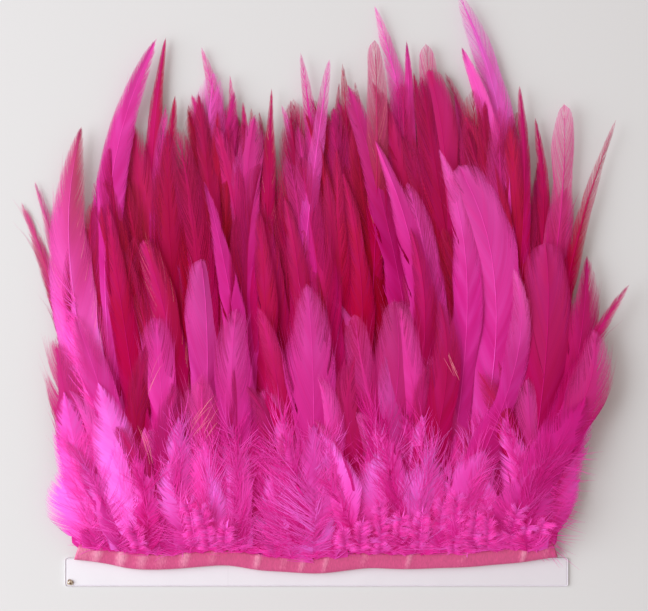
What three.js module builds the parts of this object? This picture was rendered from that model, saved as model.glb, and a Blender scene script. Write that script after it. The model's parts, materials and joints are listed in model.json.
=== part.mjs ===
// A fringe of dyed rooster hackle feathers. The quills are sewn side by side into a folded
// satin ribbon, and the ribbon is stuck along a narrow backing strip. It lies flat.
// Millimetres. X runs along the ribbon, Y towards the feather tips, and Z is up.
// The origin is the middle of the strip's underside.

import * as THREE from 'three';

// Backing strip
const strip = { length: 157, width: 8.8, thickness: 0.5, cornerRadius: 1.6 };

// Satin ribbon, folded along its lower edge round the quills and open towards the feathers
const ribbon = { left: -75.6, right: 75.2, width: 5, wall: 0.45, underside: 0.8, top: 3, endSlant: 1.6, steps: 40 };

// Lower edge of the ribbon as it lies, in slow waves that lift off the strip at both ends: x, y
const ribbonLowerEdge = [
  [-75.6, 4.1],
  [-52, 0.9],
  [-28, 2.4],
  [-14, 0.5],
  [0, -0.3],
  [17, 1.5],
  [28, 1.1],
  [42, 1.5],
  [60, 2.9],
  [75.2, 4.8],
];

// Quills, one beside another in the ribbon
const quill = { start: 1.2, bareEnd: 5.6, halfWidth: 0.45, height: (ribbon.underside + ribbon.top) / 2 };
const quillSpan = { left: -72, right: 72 };

// Down at the foot of every feather, as ragged steps of its outline: height, share of the down's width
const downSteps = [
  [9, 0.16],
  [11, 0.45],
  [15, 1],
  [20, 0.76],
  [26, 1.08],
  [32, 0.74],
  [40, 1],
  [47, 0.8],
];
const downLevelsOff = 40;

// Vanes, from the end of the down to the tip: share of the way, share of the vane's half width
const vanes = {
  pointed: [[0.12, 0.78], [0.34, 1], [0.56, 0.92], [0.76, 0.6], [0.91, 0.28]],
  slim: [[0.14, 0.9], [0.36, 1], [0.6, 0.8], [0.8, 0.45], [0.93, 0.18]],
  round: [[0.14, 0.75], [0.4, 0.92], [0.66, 1], [0.85, 0.86], [0.96, 0.5]],
};

// Stacking: the lowest layer lies on the table, and each layer above it clears the one below
const layerPitch = [[quill.bareEnd, 0], [11, 1.1], [20, 1.3], [60, 1]];
const lowestLayer = [[quill.bareEnd, quill.height], [11, 0.45], [110, 0.45], [185, 2.4]];
const featherThickness = [[quill.bareEnd, 0.7], [11, 0.75], [20, 0.8], [60, 0.6], [190, 0.45]];
const sideClearance = 0.3;

// Tall feathers at the back, left to right. Each gives where its quill is sewn in, a point that its
// shaft passes, its tip, half the width of its vane, the form of the vane, and its dye
const backRow = [
  { root: -70, via: [-82, 88], tip: [-92, 115], half: 3, vane: 'slim', dye: 'crimson' },
  { root: -68, via: [-78, 88], tip: [-88, 122], half: 2.5, vane: 'slim', dye: 'crimson' },
  { root: -66, via: [-74, 85], tip: [-80, 114], half: 2.5, vane: 'slim', dye: 'crimson' },
  { root: -63, via: [-65, 118], tip: [-50, 166], half: 5.5, vane: 'pointed', dye: 'fuchsia' },
  { root: -58, via: [-59, 100], tip: [-59, 137], half: 4.5, vane: 'pointed', dye: 'crimson' },
  { root: -53, via: [-52, 120], tip: [-47, 167], half: 3.5, vane: 'slim', dye: 'plum' },
  { root: -49, via: [-47, 110], tip: [-44, 149], half: 3.5, vane: 'pointed', dye: 'crimson' },
  { root: -38, via: [-36, 120], tip: [-32, 156], half: 5.5, vane: 'round', dye: 'pink' },
  { root: -30, via: [-28, 126], tip: [-36, 164], half: 4, vane: 'pointed', dye: 'pink' },
  { root: -25, via: [-25, 122], tip: [-27, 155], half: 3, vane: 'slim', dye: 'plum' },
  { root: -21, via: [-21, 116], tip: [-23, 147], half: 3, vane: 'slim', dye: 'plum' },
  { root: -17, via: [-15, 116], tip: [-14, 151], half: 3, vane: 'slim', dye: 'crimson' },
  { root: -12, via: [-14, 110], tip: [-18, 144], half: 3, vane: 'slim', dye: 'crimson' },
  { root: 0, via: [-4, 122], tip: [-11, 146], half: 3.5, vane: 'pointed', dye: 'pink' },
  { root: 3, via: [-1, 135], tip: [-5, 162], half: 3.5, vane: 'pointed', dye: 'fuchsia' },
  { root: -4, via: [0, 132], tip: [4, 160], half: 3, vane: 'slim', dye: 'pink' },
  { root: 7, via: [6, 122], tip: [7, 153], half: 3, vane: 'slim', dye: 'crimson' },
  { root: 10, via: [10, 129], tip: [8, 159], half: 3, vane: 'slim', dye: 'crimson' },
  { root: 14, via: [14, 126], tip: [12, 153], half: 3.5, vane: 'pointed', dye: 'crimson' },
  { root: 19, via: [19, 132], tip: [18, 166], half: 3.5, vane: 'round', dye: 'crimson' },
  { root: 31, via: [28, 138], tip: [18, 177], half: 4.5, vane: 'pointed', dye: 'pink' },
  { root: 27, via: [29, 132], tip: [28, 166], half: 3, vane: 'slim', dye: 'fuchsia' },
  { root: 37, via: [36, 132], tip: [34, 165], half: 4, vane: 'round', dye: 'crimson' },
  { root: 43, via: [41, 122], tip: [35, 157], half: 5, vane: 'round', dye: 'plum' },
  { root: 48, via: [47, 120], tip: [43, 150], half: 3, vane: 'slim', dye: 'fuchsia' },
  { root: 62, via: [58, 141], tip: [44, 181], half: 5.5, vane: 'pointed', dye: 'pink' },
  { root: 59, via: [55, 135], tip: [45, 164], half: 4.5, vane: 'pointed', dye: 'pink' },
  { root: 63, via: [65, 120], tip: [63, 152], half: 3, vane: 'slim', dye: 'crimson' },
  { root: 61, via: [67, 94], tip: [69, 128], half: 3.5, vane: 'pointed', dye: 'plum' },
  { root: 66, via: [71, 110], tip: [68, 142], half: 3, vane: 'slim', dye: 'crimson' },
  { root: 68, via: [76, 110], tip: [77, 146], half: 4, vane: 'round', dye: 'plum' },
  { root: 71, via: [81, 104], tip: [93, 141], half: 3, vane: 'slim', dye: 'crimson' },
];

// Feathers of the middle height, which lie over the tall ones
const middleRow = [
  { root: -65, via: [-76, 88], tip: [-73, 139], half: 7, vane: 'pointed', dye: 'fuchsia' },
  { root: -55, via: [-61, 85], tip: [-65, 115], half: 4, vane: 'pointed', dye: 'crimson' },
  { root: -41, via: [-46, 76], tip: [-54, 104], half: 4.5, vane: 'round', dye: 'crimson' },
  { root: -34, via: [-34, 76], tip: [-36, 98], half: 6, vane: 'round', dye: 'fuchsia' },
  { root: -27, via: [-26, 85], tip: [-25, 112], half: 4, vane: 'pointed', dye: 'crimson' },
  { root: -19, via: [-26, 82], tip: [-35, 122], half: 3.5, vane: 'slim', dye: 'plum' },
  { root: -15, via: [-16, 85], tip: [-18, 113], half: 4, vane: 'pointed', dye: 'crimson' },
  { root: -2, via: [-5, 88], tip: [-10, 117], half: 4, vane: 'pointed', dye: 'plum' },
  { root: 18, via: [14, 91], tip: [8, 125], half: 4, vane: 'pointed', dye: 'crimson' },
  { root: 36, via: [34, 79], tip: [29, 108], half: 4.5, vane: 'pointed', dye: 'crimson' },
  { root: 44, via: [32, 91], tip: [18, 135], half: 4.5, vane: 'pointed', dye: 'fuchsia' },
  { root: 51, via: [46, 104], tip: [38, 132], half: 4.5, vane: 'pointed', dye: 'pink' },
  { root: 60, via: [55, 98], tip: [44, 127], half: 8.5, vane: 'round', dye: 'fuchsia' },
  { root: 69, via: [72, 79], tip: [71, 103], half: 7, vane: 'round', dye: 'plum' },
  { root: 72, via: [82, 72], tip: [84, 99], half: 5, vane: 'pointed', dye: 'plum' },
  { root: 70, via: [80, 62], tip: [97, 90], half: 3, vane: 'slim', dye: 'plum' },
];

// Short feathers in front, mostly down
const frontRow = [
  { root: -69, via: [-76, 45], tip: [-81, 72], half: 5.5, vane: 'pointed', dye: 'fuchsia' },
  { root: -59, via: [-66, 54], tip: [-75, 80], half: 4.5, vane: 'pointed', dye: 'fuchsia' },
  { root: -47, via: [-48, 54], tip: [-50, 80], half: 5, vane: 'round', dye: 'pink' },
  { root: -30, via: [-34, 38], tip: [-37, 60], half: 6.5, vane: 'pointed', dye: 'fuchsia' },
  { root: -9, via: [-12, 35], tip: [-17, 57], half: 5.5, vane: 'pointed', dye: 'fuchsia' },
  { root: 1, via: [-1, 60], tip: [-3, 90], half: 8, vane: 'pointed', dye: 'fuchsia' },
  { root: 25, via: [25, 57], tip: [24, 85], half: 8, vane: 'pointed', dye: 'fuchsia' },
  { root: 40, via: [40, 57], tip: [38, 85], half: 5, vane: 'pointed', dye: 'crimson' },
  { root: 57, via: [63, 70], tip: [61, 95], half: 3.5, vane: 'pointed', dye: 'pink' },
  { root: 67, via: [79, 46], tip: [86, 76], half: 6.5, vane: 'pointed', dye: 'fuchsia' },
];

// Rows from the back to the front, with half the width of their down, and how many layers a row starts with
const rows = [
  { name: 'hackle_back', feathers: backRow, down: 3.2, layers: 4 },
  { name: 'hackle_middle', feathers: middleRow, down: 4.2, layers: 2 },
  { name: 'hackle_front', feathers: frontRow, down: 6.2, layers: 2 },
];

const dyes = {
  fuchsia: new THREE.MeshStandardMaterial({ color: 0xd2398b, roughness: 0.75, metalness: 0 }),
  crimson: new THREE.MeshStandardMaterial({ color: 0xaa1139, roughness: 0.75, metalness: 0 }),
  plum: new THREE.MeshStandardMaterial({ color: 0xa32062, roughness: 0.75, metalness: 0 }),
  pink: new THREE.MeshStandardMaterial({ color: 0xd675aa, roughness: 0.75, metalness: 0 }),
};
const satin = new THREE.MeshStandardMaterial({ color: 0xd34b84, roughness: 0.35, metalness: 0 });
const clearTape = new THREE.MeshStandardMaterial({ color: 0xe2d9e3, roughness: 0.3, metalness: 0 });

// Value at x on a line through [x, value] points, level beyond both ends
function alongLine(points, x) {
  if (x <= points[0][0]) return points[0][1];
  for (let i = 1; i < points.length; i += 1) {
    const [x0, value0] = points[i - 1];
    const [x1, value1] = points[i];
    if (x <= x1) return value0 + (value1 - value0) * (x - x0) / (x1 - x0);
  }
  return points[points.length - 1][1];
}

// The same, with the corners eased
function alongWave(points, x) {
  const next = points.findIndex(([px]) => px > x);
  if (next <= 0) return alongLine(points, x);
  const [x0, value0] = points[next - 1];
  const [x1, value1] = points[next];
  return THREE.MathUtils.lerp(value0, value1, THREE.MathUtils.smoothstep(x, x0, x1));
}

// Closed solid through a row of rings of equal length, each ring anticlockwise seen from its far end.
// It ends in a flat cap, or in the point given
function loft(rings, endPoint) {
  const count = rings[0].length;
  const corners = rings.flat();
  const faces = [];
  for (let r = 0; r < rings.length - 1; r += 1) {
    for (let i = 0; i < count; i += 1) {
      const a = r * count + i;
      const b = r * count + (i + 1) % count;
      faces.push(a, b, b + count, a, b + count, a + count);
    }
  }
  const flat = (ring) => ring.map((p) => new THREE.Vector2(p.y - p.x, p.z));
  const capOf = (ring) => THREE.ShapeUtils.triangulateShape(flat(ring), []);
  const last = (rings.length - 1) * count;
  const startCap = capOf(rings[0]);
  for (const [a, b, c] of startCap) faces.push(a, c, b);
  if (endPoint) {
    corners.push(endPoint);
    for (let i = 0; i < count; i += 1) faces.push(last + i, last + (i + 1) % count, corners.length - 1);
  } else {
    for (const [a, b, c] of capOf(rings[rings.length - 1])) faces.push(last + a, last + b, last + c);
  }
  const geometry = new THREE.BufferGeometry().setFromPoints(corners);
  geometry.setIndex(faces);
  geometry.computeVertexNormals();
  return geometry;
}

function namedMesh(name, geometry, material) {
  const mesh = new THREE.Mesh(geometry, material);
  mesh.name = name;
  return mesh;
}

function backingStrip() {
  const x = strip.length / 2;
  const y = strip.width / 2;
  const r = strip.cornerRadius;
  const outline = new THREE.Shape();
  outline.absarc(x - r, y - r, r, 0, Math.PI / 2);
  outline.absarc(r - x, y - r, r, Math.PI / 2, Math.PI);
  outline.absarc(r - x, r - y, r, Math.PI, 1.5 * Math.PI);
  outline.absarc(x - r, r - y, r, 1.5 * Math.PI, 2 * Math.PI);
  const form = { depth: strip.thickness, bevelEnabled: false, curveSegments: 4 };
  return namedMesh('backing_strip', new THREE.ExtrudeGeometry(outline, form), clearTape);
}

// Folded ribbon: a channel on its side, with its fold along the lower edge
function satinRibbon() {
  const { width, wall, underside, top } = ribbon;
  const section = [
    [wall, underside],
    [width, underside],
    [width, underside + wall],
    [2 * wall, underside + wall],
    [2 * wall, top - wall],
    [width, top - wall],
    [width, top],
    [wall, top],
    [0, top - wall],
    [0, underside + wall],
  ];
  const rings = [];
  for (let i = 0; i <= ribbon.steps; i += 1) {
    const share = i / ribbon.steps;
    rings.push(section.map(([across, z]) => {
      const slant = ribbon.endSlant * (1 - 2 * share) * across / width;
      const x = THREE.MathUtils.lerp(ribbon.left, ribbon.right, share) + slant;
      return new THREE.Vector3(x, alongWave(ribbonLowerEdge, x) + across, z);
    }));
  }
  return namedMesh('satin_ribbon', loft(rings), satin);
}

// Height v is measured up the fringe. Near the ribbon a line of equal v follows the ribbon's wave
function placeOn(x, v, z) {
  const follow = 1 - THREE.MathUtils.clamp((v - quill.bareEnd) / (downLevelsOff - quill.bareEnd), 0, 1);
  return new THREE.Vector3(x, v + follow * alongWave(ribbonLowerEdge, x), z);
}

// The shaft leaves the ribbon straight up, and bends through its two points
function shaftX(feather, v) {
  const [viaX, viaV] = feather.via;
  const [tipX, tipV] = feather.tip;
  const viaBend = (viaX - feather.slot) / viaV ** 2;
  const tipBend = (tipX - feather.slot) / tipV ** 2;
  const twist = (tipBend - viaBend) / (tipV - viaV);
  return feather.slot + (viaBend - twist * viaV + twist * v) * v ** 2;
}

// Outline of one feather as [v, half width] points, from the quill's end to just short of the tip
function outlineOf(feather) {
  const [, tipV] = feather.tip;
  const outline = [[quill.start, quill.halfWidth], [quill.bareEnd, quill.halfWidth]];
  for (const [v, share] of downSteps) {
    outline.push([v, quill.halfWidth + (feather.down - quill.halfWidth) * share]);
  }
  const downEnd = outline[outline.length - 1][0];
  for (const [way, share] of vanes[feather.vane]) {
    outline.push([THREE.MathUtils.lerp(downEnd, tipV, way), feather.half * share]);
  }
  return outline;
}

function spanAt(feather, v) {
  const middle = shaftX(feather, v);
  const half = alongLine([...feather.outline, [feather.tip[1], 0]], v) + sideClearance / 2;
  return [middle - half, middle + half];
}

function overlapsInPlan(one, other) {
  const top = Math.min(one.tip[1], other.tip[1]);
  for (let v = downSteps[0][0]; v < top; v += 1) {
    const [left, right] = spanAt(one, v);
    const [otherLeft, otherRight] = spanAt(other, v);
    if (left < otherRight && otherLeft < right) return true;
  }
  return false;
}

// Quills share the ribbon evenly, in the order in which they are sewn in
function giveSlots(feathers) {
  const inOrder = [...feathers].sort((a, b) => a.root - b.root);
  inOrder.forEach((feather, i) => {
    feather.slot = THREE.MathUtils.lerp(quillSpan.left, quillSpan.right, i / (inOrder.length - 1));
  });
}

// Each feather lies on top of all those under it that it crosses. A row is laid in a few passes
function giveLayers() {
  const laid = [];
  for (const row of rows) {
    for (let pass = 0; pass < row.layers; pass += 1) {
      row.feathers.filter((feather, i) => i % row.layers === pass).forEach((feather) => {
        const below = laid.filter((other) => overlapsInPlan(feather, other));
        feather.layer = Math.max(-1, ...below.map((other) => other.layer)) + 1;
        laid.push(feather);
      });
    }
  }
}

// Section of four corners: right edge, underside, left edge and the ridge of the shaft
function featherSection(feather, v, half) {
  const x = shaftX(feather, v);
  const z = alongLine(lowestLayer, v) + feather.layer * alongLine(layerPitch, v);
  const halfThick = alongLine(featherThickness, v) / 2;
  return [
    placeOn(x + half, v, z),
    placeOn(x, v, z - halfThick),
    placeOn(x - half, v, z),
    placeOn(x, v, z + halfThick),
  ];
}

function hackleFeather(name, feather) {
  const [tipX, tipV] = feather.tip;
  const bends = [layerPitch, lowestLayer].flat().map(([v]) => v);
  const heights = new Set([...feather.outline.map(([v]) => v), ...bends]);
  const stations = [...heights].filter((v) => v < tipV - 1).sort((a, b) => a - b);
  const rings = stations.map((v) => featherSection(feather, v, alongLine(feather.outline, v)));
  const tipZ = alongLine(lowestLayer, tipV) + feather.layer * alongLine(layerPitch, tipV);
  return namedMesh(name, loft(rings, placeOn(tipX, tipV, tipZ)), dyes[feather.dye]);
}

function allFeathers() {
  giveSlots(rows.flatMap((row) => row.feathers));
  for (const row of rows) {
    for (const feather of row.feathers) {
      feather.down = row.down;
      feather.outline = outlineOf(feather);
    }
  }
  giveLayers();
  return rows.flatMap((row) => row.feathers.map((feather, i) => {
    const number = String(i + 1).padStart(2, '0');
    return hackleFeather(`${row.name}_${number}`, feather);
  }));
}

const fringe = new THREE.Group();
fringe.add(backingStrip(), satinRibbon(), ...allFeathers());

export default fringe;
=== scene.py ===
import json
import math
import bpy
import numpy as np
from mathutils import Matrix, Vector


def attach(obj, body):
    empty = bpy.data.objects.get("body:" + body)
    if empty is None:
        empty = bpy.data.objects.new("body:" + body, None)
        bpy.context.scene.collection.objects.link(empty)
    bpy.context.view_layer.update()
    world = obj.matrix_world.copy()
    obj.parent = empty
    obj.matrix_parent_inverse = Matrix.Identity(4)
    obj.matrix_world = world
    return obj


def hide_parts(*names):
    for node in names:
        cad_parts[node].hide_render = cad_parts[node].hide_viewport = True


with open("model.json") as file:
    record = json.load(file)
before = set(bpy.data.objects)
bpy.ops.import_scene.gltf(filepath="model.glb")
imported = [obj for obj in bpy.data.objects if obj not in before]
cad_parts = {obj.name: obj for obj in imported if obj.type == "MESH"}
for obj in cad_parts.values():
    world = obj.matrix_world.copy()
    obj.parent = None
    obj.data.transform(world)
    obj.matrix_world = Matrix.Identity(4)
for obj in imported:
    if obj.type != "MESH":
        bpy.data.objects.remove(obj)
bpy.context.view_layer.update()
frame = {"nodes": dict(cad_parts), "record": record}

# A fringe of dyed rooster hackles in a folded satin ribbon, on a pale backing strip.
# Everything is in metres. X runs along the ribbon, Y towards the feather tips, Z up.
mm = 0.001
scene = bpy.context.scene
slotOf = {row["node"]: row["material_slot"] for row in frame["record"]["subparts"]}


def inMm(*values):
    return [value * mm for value in values]


def clearSelection():
    for thing in bpy.context.selected_objects:
        thing.select_set(False)


clearSelection()
print("frame loaded:", len(frame["nodes"]), "nodes")

# Camera, straight above the fringe
photoView = {
    "imageWide": 648,
    "pixelsPerMm": 3.2,
    "place": inMm(2.3, 83.3, 900),
    "sensor": 36,
    "nearest": 0.01,
}


def makeCamera(look):
    data = bpy.data.cameras.new("camera")
    data.sensor_width = look["sensor"]
    data.lens = look["sensor"] * look["place"][2] / (look["imageWide"] / look["pixelsPerMm"] * mm)
    data.clip_start = look["nearest"]
    camera = bpy.data.objects.new("camera", data)
    camera.location = look["place"]
    scene.collection.objects.link(camera)
    scene.camera = camera


makeCamera(photoView)

# Shader maths: a wrapped socket takes part in Python expressions, each of which adds its nodes


class Wire:
    def __init__(self, tree, socket):
        self.tree = tree
        self.socket = socket

    def maths(self, operation, *others):
        node = self.tree.nodes.new("ShaderNodeMath")
        node.operation = operation
        for place, value in enumerate((self, *others)):
            fill(self.tree, node.inputs[place], value)
        return Wire(self.tree, node.outputs[0])

    def __add__(self, other):
        return self.maths("ADD", other)

    def __sub__(self, other):
        return self.maths("SUBTRACT", other)

    def __rsub__(self, other):
        return self.maths("MULTIPLY", -1).maths("ADD", other)

    def __mul__(self, other):
        return self.maths("MULTIPLY", other)

    __radd__ = __add__
    __rmul__ = __mul__

    # 0 below the edge and 1 above it, over a soft width
    def above(self, edge, soft):
        return ((self - (edge - soft / 2)) * (1 / soft)).clamped()

    def clamped(self):
        node = self.tree.nodes.new("ShaderNodeClamp")
        fill(self.tree, node.inputs["Value"], self)
        return Wire(self.tree, node.outputs[0])


def fill(tree, socket, value):
    if isinstance(value, Wire):
        tree.links.new(value.socket, socket)
    else:
        socket.default_value = value


def setStops(points, stops):
    while len(points) < len(stops):
        points.new(0.5)
    for point, (place, colour) in zip(points, stops):
        point.position = place
        point.color = colour


class Paint:
    def __init__(self, name):
        self.material = bpy.data.materials.new(name)
        self.material.use_nodes = True
        self.tree = self.material.node_tree
        self.shader = self.tree.nodes["Principled BSDF"]

    # Any node: its settings come first, then its sockets, by number or by name
    def node(self, kind, settings=(), output=0, numbered=(), **named):
        node = self.tree.nodes.new("ShaderNode" + kind)
        for name, value in dict(settings).items():
            if name == "stops":
                setStops(node.color_ramp.elements, value)
            else:
                setattr(node, name, value)
        for place, value in dict(numbered).items():
            fill(self.tree, node.inputs[place], value)
        for name, value in named.items():
            fill(self.tree, node.inputs[name.replace("_", " ")], value)
        return Wire(self.tree, node.outputs[output])

    def mark(self, name):
        return self.node("Attribute", {"attribute_name": name}, output="Fac")

    def noise(self, spot, scale, detail):
        return self.node("TexNoise", Vector=spot, Scale=scale, Detail=detail) - 0.5

    def ramp(self, share, stops):
        return self.node("ValToRGB", {"stops": stops}, Fac=share)

    def blend(self, share, first, second):
        return self.node("Mix", {"data_type": "RGBA"}, 2, {0: share, 6: first, 7: second})

    def shade(self, colour, brightness):
        colour = colour if isinstance(colour, Wire) else colour[:3]
        return self.node("VectorMath", {"operation": "SCALE"}, 0, {0: colour, 3: brightness})

    def finish(self, **sockets):
        for name, value in sockets.items():
            fill(self.tree, self.shader.inputs[name.replace("_", " ")], value)
        return self.material


# The dye, from the hottest pink of the down to the deepest crimson. Every feather wears a stretch of it
dyeColours = [
    (0.00, (1.00, 0.20, 0.88, 1)),
    (0.15, (0.94, 0.090, 0.57, 1)),
    (0.34, (0.74, 0.027, 0.33, 1)),
    (0.50, (0.58, 0.008, 0.190, 1)),
    (0.65, (0.49, 0.003, 0.105, 1)),
    (0.80, (0.42, 0.0012, 0.048, 1)),
    (1.00, (0.30, 0.0004, 0.010, 1)),
]
paleColour = (0.95, 0.30, 0.58, 1)
strawColour = (1.0, 0.50, 0.38, 1)
barbFinish = {
    "fine": (1.7, 0.9, 2, 0),  # waves to a millimetre, stretch across, detail, and where in the noise
    "broad": (0.16, 0.9, 1, 9),
    "hairs": (2.4, 0.7, 1, 30),
    "fineDye": 0.5,  # how far each moves the dye
    "broadDye": 0.22,
    "strandDye": 0.6,
    "light": (0.56, 0.55),  # brightness of the dullest strand, and what the brightest adds
    "hairy": (2.5, 1.3),  # how strongly hairs break up the margin, and how much less where it is clear
    "solid": 1.2,
    "thinRim": 0.9,
    "seeds": 60,  # how far apart in the noise two feathers can be
    "glow": 0.15,  # painted light: an emission that stands in for light scattered within the barbs; the next key makes its colour darker in dye, so the shade between barbs turns crimson
    "glowDeeper": 0.22,
    "bump": (0.3, 0.2 * mm),
    "rough": 0.62,
    "gloss": 0.02,
}


# The barb mark counts millimetres along the shaft, and side those across a strand,
# so the grain follows the barbs
def featherPaint(name, grainShare, film=False):
    look = barbFinish
    paint = Paint(name + "_film" if film else name)
    barb, across, seed, strand = (paint.mark(mark) for mark in ("barb", "across", "seed", "strand"))
    side = paint.mark("side")

    def grain(perMm, stretch, detail, offset):
        layer = seed * look["seeds"] + offset
        spot = paint.node("CombineXYZ", X=(barb + side) * perMm, Y=across * stretch, Z=layer)
        return paint.noise(spot, 1, detail)

    fine = grain(*look["fine"])
    depth = paint.mark("dye") + fine * (look["fineDye"] * grainShare)
    depth = depth + grain(*look["broad"]) * look["broadDye"]
    depth = depth + (strand - 0.5) * (look["strandDye"] * grainShare)
    colour = paint.ramp(depth, dyeColours)
    colour = paint.blend(paint.mark("pale"), colour, paleColour)
    colour = paint.blend(paint.mark("straw"), colour, strawColour)
    dullest, added = look["light"]
    colour = paint.shade(colour, fine * grainShare + strand * added + dullest)
    if film:
        clear = paint.mark("clear")
        rim = paint.mark("rim")
        strong, less = look["hairy"]
        hairs = grain(*look["hairs"]) * (strong - clear * less)
        solid = look["solid"] - clear * look["solid"]
        paint.finish(Alpha=(solid + hairs - rim * rim * look["thinRim"]).clamped())
    strength, distance = look["bump"]
    # Painted light: the emission takes the dye one step darker and lifts the shade between the barbs with it
    paintedGlowColour = paint.ramp(depth + look["glowDeeper"], dyeColours)
    return paint.finish(
        Base_Color=colour,
        Roughness=look["rough"],
        Specular_IOR_Level=look["gloss"],
        Emission_Color=paint.blend(paint.mark("pale"), paintedGlowColour, paleColour),
        Emission_Strength=look["glow"],
        Normal=paint.node("Bump", Strength=strength, Distance=distance, Height=fine),
    )


grainShares = {"hackle_fuchsia": 0.35, "hackle_pink": 0.35, "hackle_plum": 0.4, "hackle_crimson": 0.65}
featherPaints = {slot: (featherPaint(slot, share), featherPaint(slot, share, film=True))
                 for slot, share in grainShares.items()}

# Meshes of many strands and sheets, gathered piece by piece
markNames = ("dye", "pale", "straw", "strand", "barb", "across", "seed", "side", "rim", "clear")


class Bundle:
    def __init__(self, pages=1):
        self.places = []
        self.quads = []
        self.triangles = []
        self.films = ([], [])  # which of the quads and of the triangles are see-through
        self.marks = {name: [] for name in markNames}
        self.maps = []
        self.count = 0
        self.pages = pages  # feathers that share the map, side by side
        self.page = 0
        self.seed = 0.5

    def add(self, places, quads, triangles, spot, film=False, **marks):
        self.places.append(places)
        self.quads.append(quads + self.count)
        self.triangles.append(triangles + self.count)
        self.films[0].append(np.full(len(quads), film))
        self.films[1].append(np.full(len(triangles), film))
        marks["seed"] = self.seed
        for name, rows in self.marks.items():
            rows.append(np.broadcast_to(marks.get(name, 0.0), len(places)).astype(np.float32))
        self.maps.append((spot + [self.page, 0]) / [self.pages, 1])
        self.count += len(places)

    # centres and sides are strand by point by xyz, widths is strand by point. The last point is a tip
    def addStrips(self, centres, sides, widths, band, **marks):
        strands, points = widths.shape
        wide = sides[:, :-1] * widths[:, :-1, None]
        left = centres[:, :-1] - wide
        right = centres[:, :-1] + wide
        pairs = np.stack([left, right], axis=2).reshape(strands, -1, 3)
        places = np.concatenate([pairs, centres[:, -1:]], axis=1)
        each = places.shape[1]
        starts = np.arange(strands)[:, None] * each
        rungs = np.arange(points - 2) * 2
        quads = np.stack([starts + rungs + corner for corner in (0, 1, 3, 2)], axis=2)
        last = each - 3
        triangles = np.concatenate([starts + last + corner for corner in (0, 1, 2)], axis=1)
        low, high = band
        share = np.concatenate([np.repeat(np.linspace(0, 1, points)[:-1], 2), [1]])
        sideways = np.concatenate([np.tile([0.1, 0.9], points - 1), [0.5]])
        spot = np.empty((strands, each, 2))
        spot[:, :, 0] = (np.arange(strands)[:, None] + sideways) / strands
        spot[:, :, 1] = low + (high - low) * share
        spread = {}
        for name, value in marks.items():
            if np.ndim(value) < 2:
                value = np.broadcast_to(np.asarray(value, dtype=float).reshape(-1, 1), (strands, points))
            value = np.concatenate([np.repeat(value[:, :-1], 2, axis=1), value[:, -1:]], axis=1)
            spread[name] = value.reshape(-1)
        rim = np.append(np.tile([-1.0, 1.0], points - 1), 0)
        reach = np.append(np.repeat(widths[:, :-1], 2, axis=1), widths[:, -1:], axis=1) / mm
        self.add(places.reshape(-1, 3), quads.reshape(-1, 4), triangles.reshape(-1, 3), spot.reshape(-1, 2),
                 side=(reach * rim).reshape(-1), rim=np.tile(rim, strands), **spread)

    # places is row by column by xyz, and keep says which of the squares between them are there
    def addSheet(self, places, keep, turned, band, film, **marks):
        rows, columns = places.shape[:2]
        first = np.arange(rows - 1)[:, None] * columns + np.arange(columns - 1)
        corners = [first, first + 1, first + columns + 1, first + columns]
        if turned:
            corners = corners[::-1]
        quads = np.stack(corners, axis=2)[keep]
        low, high = band
        spot = np.empty((rows, columns, 2))
        spot[:, :, 0] = np.linspace(0, 1, rows)[:, None]
        spot[:, :, 1] = np.linspace(low, high, columns)
        marks = {name: np.broadcast_to(value, (rows, columns)).reshape(-1) for name, value in marks.items()}
        none = np.empty((0, 3), dtype=int)
        self.add(places.reshape(-1, 3), quads, none, spot.reshape(-1, 2), film, **marks)

    def build(self, name, materials):
        places = np.concatenate(self.places)
        quads = np.concatenate(self.quads).astype(np.int32)
        triangles = np.concatenate(self.triangles).astype(np.int32)
        corners = np.concatenate([quads.reshape(-1), triangles.reshape(-1)])
        starts = np.concatenate([np.arange(len(quads)) * 4, len(quads) * 4 + np.arange(len(triangles)) * 3])
        mesh = bpy.data.meshes.new(name)
        mesh.vertices.add(len(places))
        mesh.vertices.foreach_set("co", places.astype(np.float32).reshape(-1))
        mesh.loops.add(len(corners))
        mesh.loops.foreach_set("vertex_index", corners)
        mesh.polygons.add(len(starts))
        mesh.polygons.foreach_set("loop_start", starts.astype(np.int32))
        mesh.polygons.foreach_set("use_smooth", np.ones(len(starts), dtype=bool))
        films = np.concatenate([np.concatenate(rows) for rows in self.films])
        mesh.polygons.foreach_set("material_index", films.astype(np.int32))
        for mark, rows in self.marks.items():
            layer = mesh.attributes.new(mark, "FLOAT", "POINT")
            layer.data.foreach_set("value", np.concatenate(rows))
        mapped = mesh.uv_layers.new(name="OFBake")
        mapped.uv.foreach_set("vector", np.concatenate(self.maps)[corners].astype(np.float32).reshape(-1))
        mesh.update(calc_edges=True)
        mesh.validate()
        for material in materials:
            mesh.materials.append(material)
        piece = bpy.data.objects.new(name, mesh)
        scene.collection.objects.link(piece)
        return piece


def trianglesOf(piece):
    return len(piece.data.loops) - 2 * len(piece.data.polygons)


# Every piece rides on the one body
def keepPiece(piece, replaced=None):
    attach(piece, "root")
    if replaced:
        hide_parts(replaced)


def unit(rows):
    return rows / np.maximum(np.linalg.norm(rows, axis=-1, keepdims=True), 1e-12)


def smoothed(row, times):
    row = row.copy()
    for _ in range(times):
        row[1:-1] = row[1:-1] / 2 + (row[:-2] + row[2:]) / 4
    return row


# The direction that lies flat across each point of a strand
def flatAcross(centres):
    ahead = unit(np.gradient(centres, axis=1))
    return unit(np.stack([ahead[..., 1], -ahead[..., 0], 0 * ahead[..., 2]], axis=-1))


# A value that wanders along a feather, by about a size, with a turn every so far
def drift(chance, length, every, size):
    knots = np.arange(-1, length / every + 3)
    values = smoothed(chance.normal(0, size * 1.4, len(knots)), 1)
    return lambda run: np.interp(run / every, knots, values)


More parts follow.
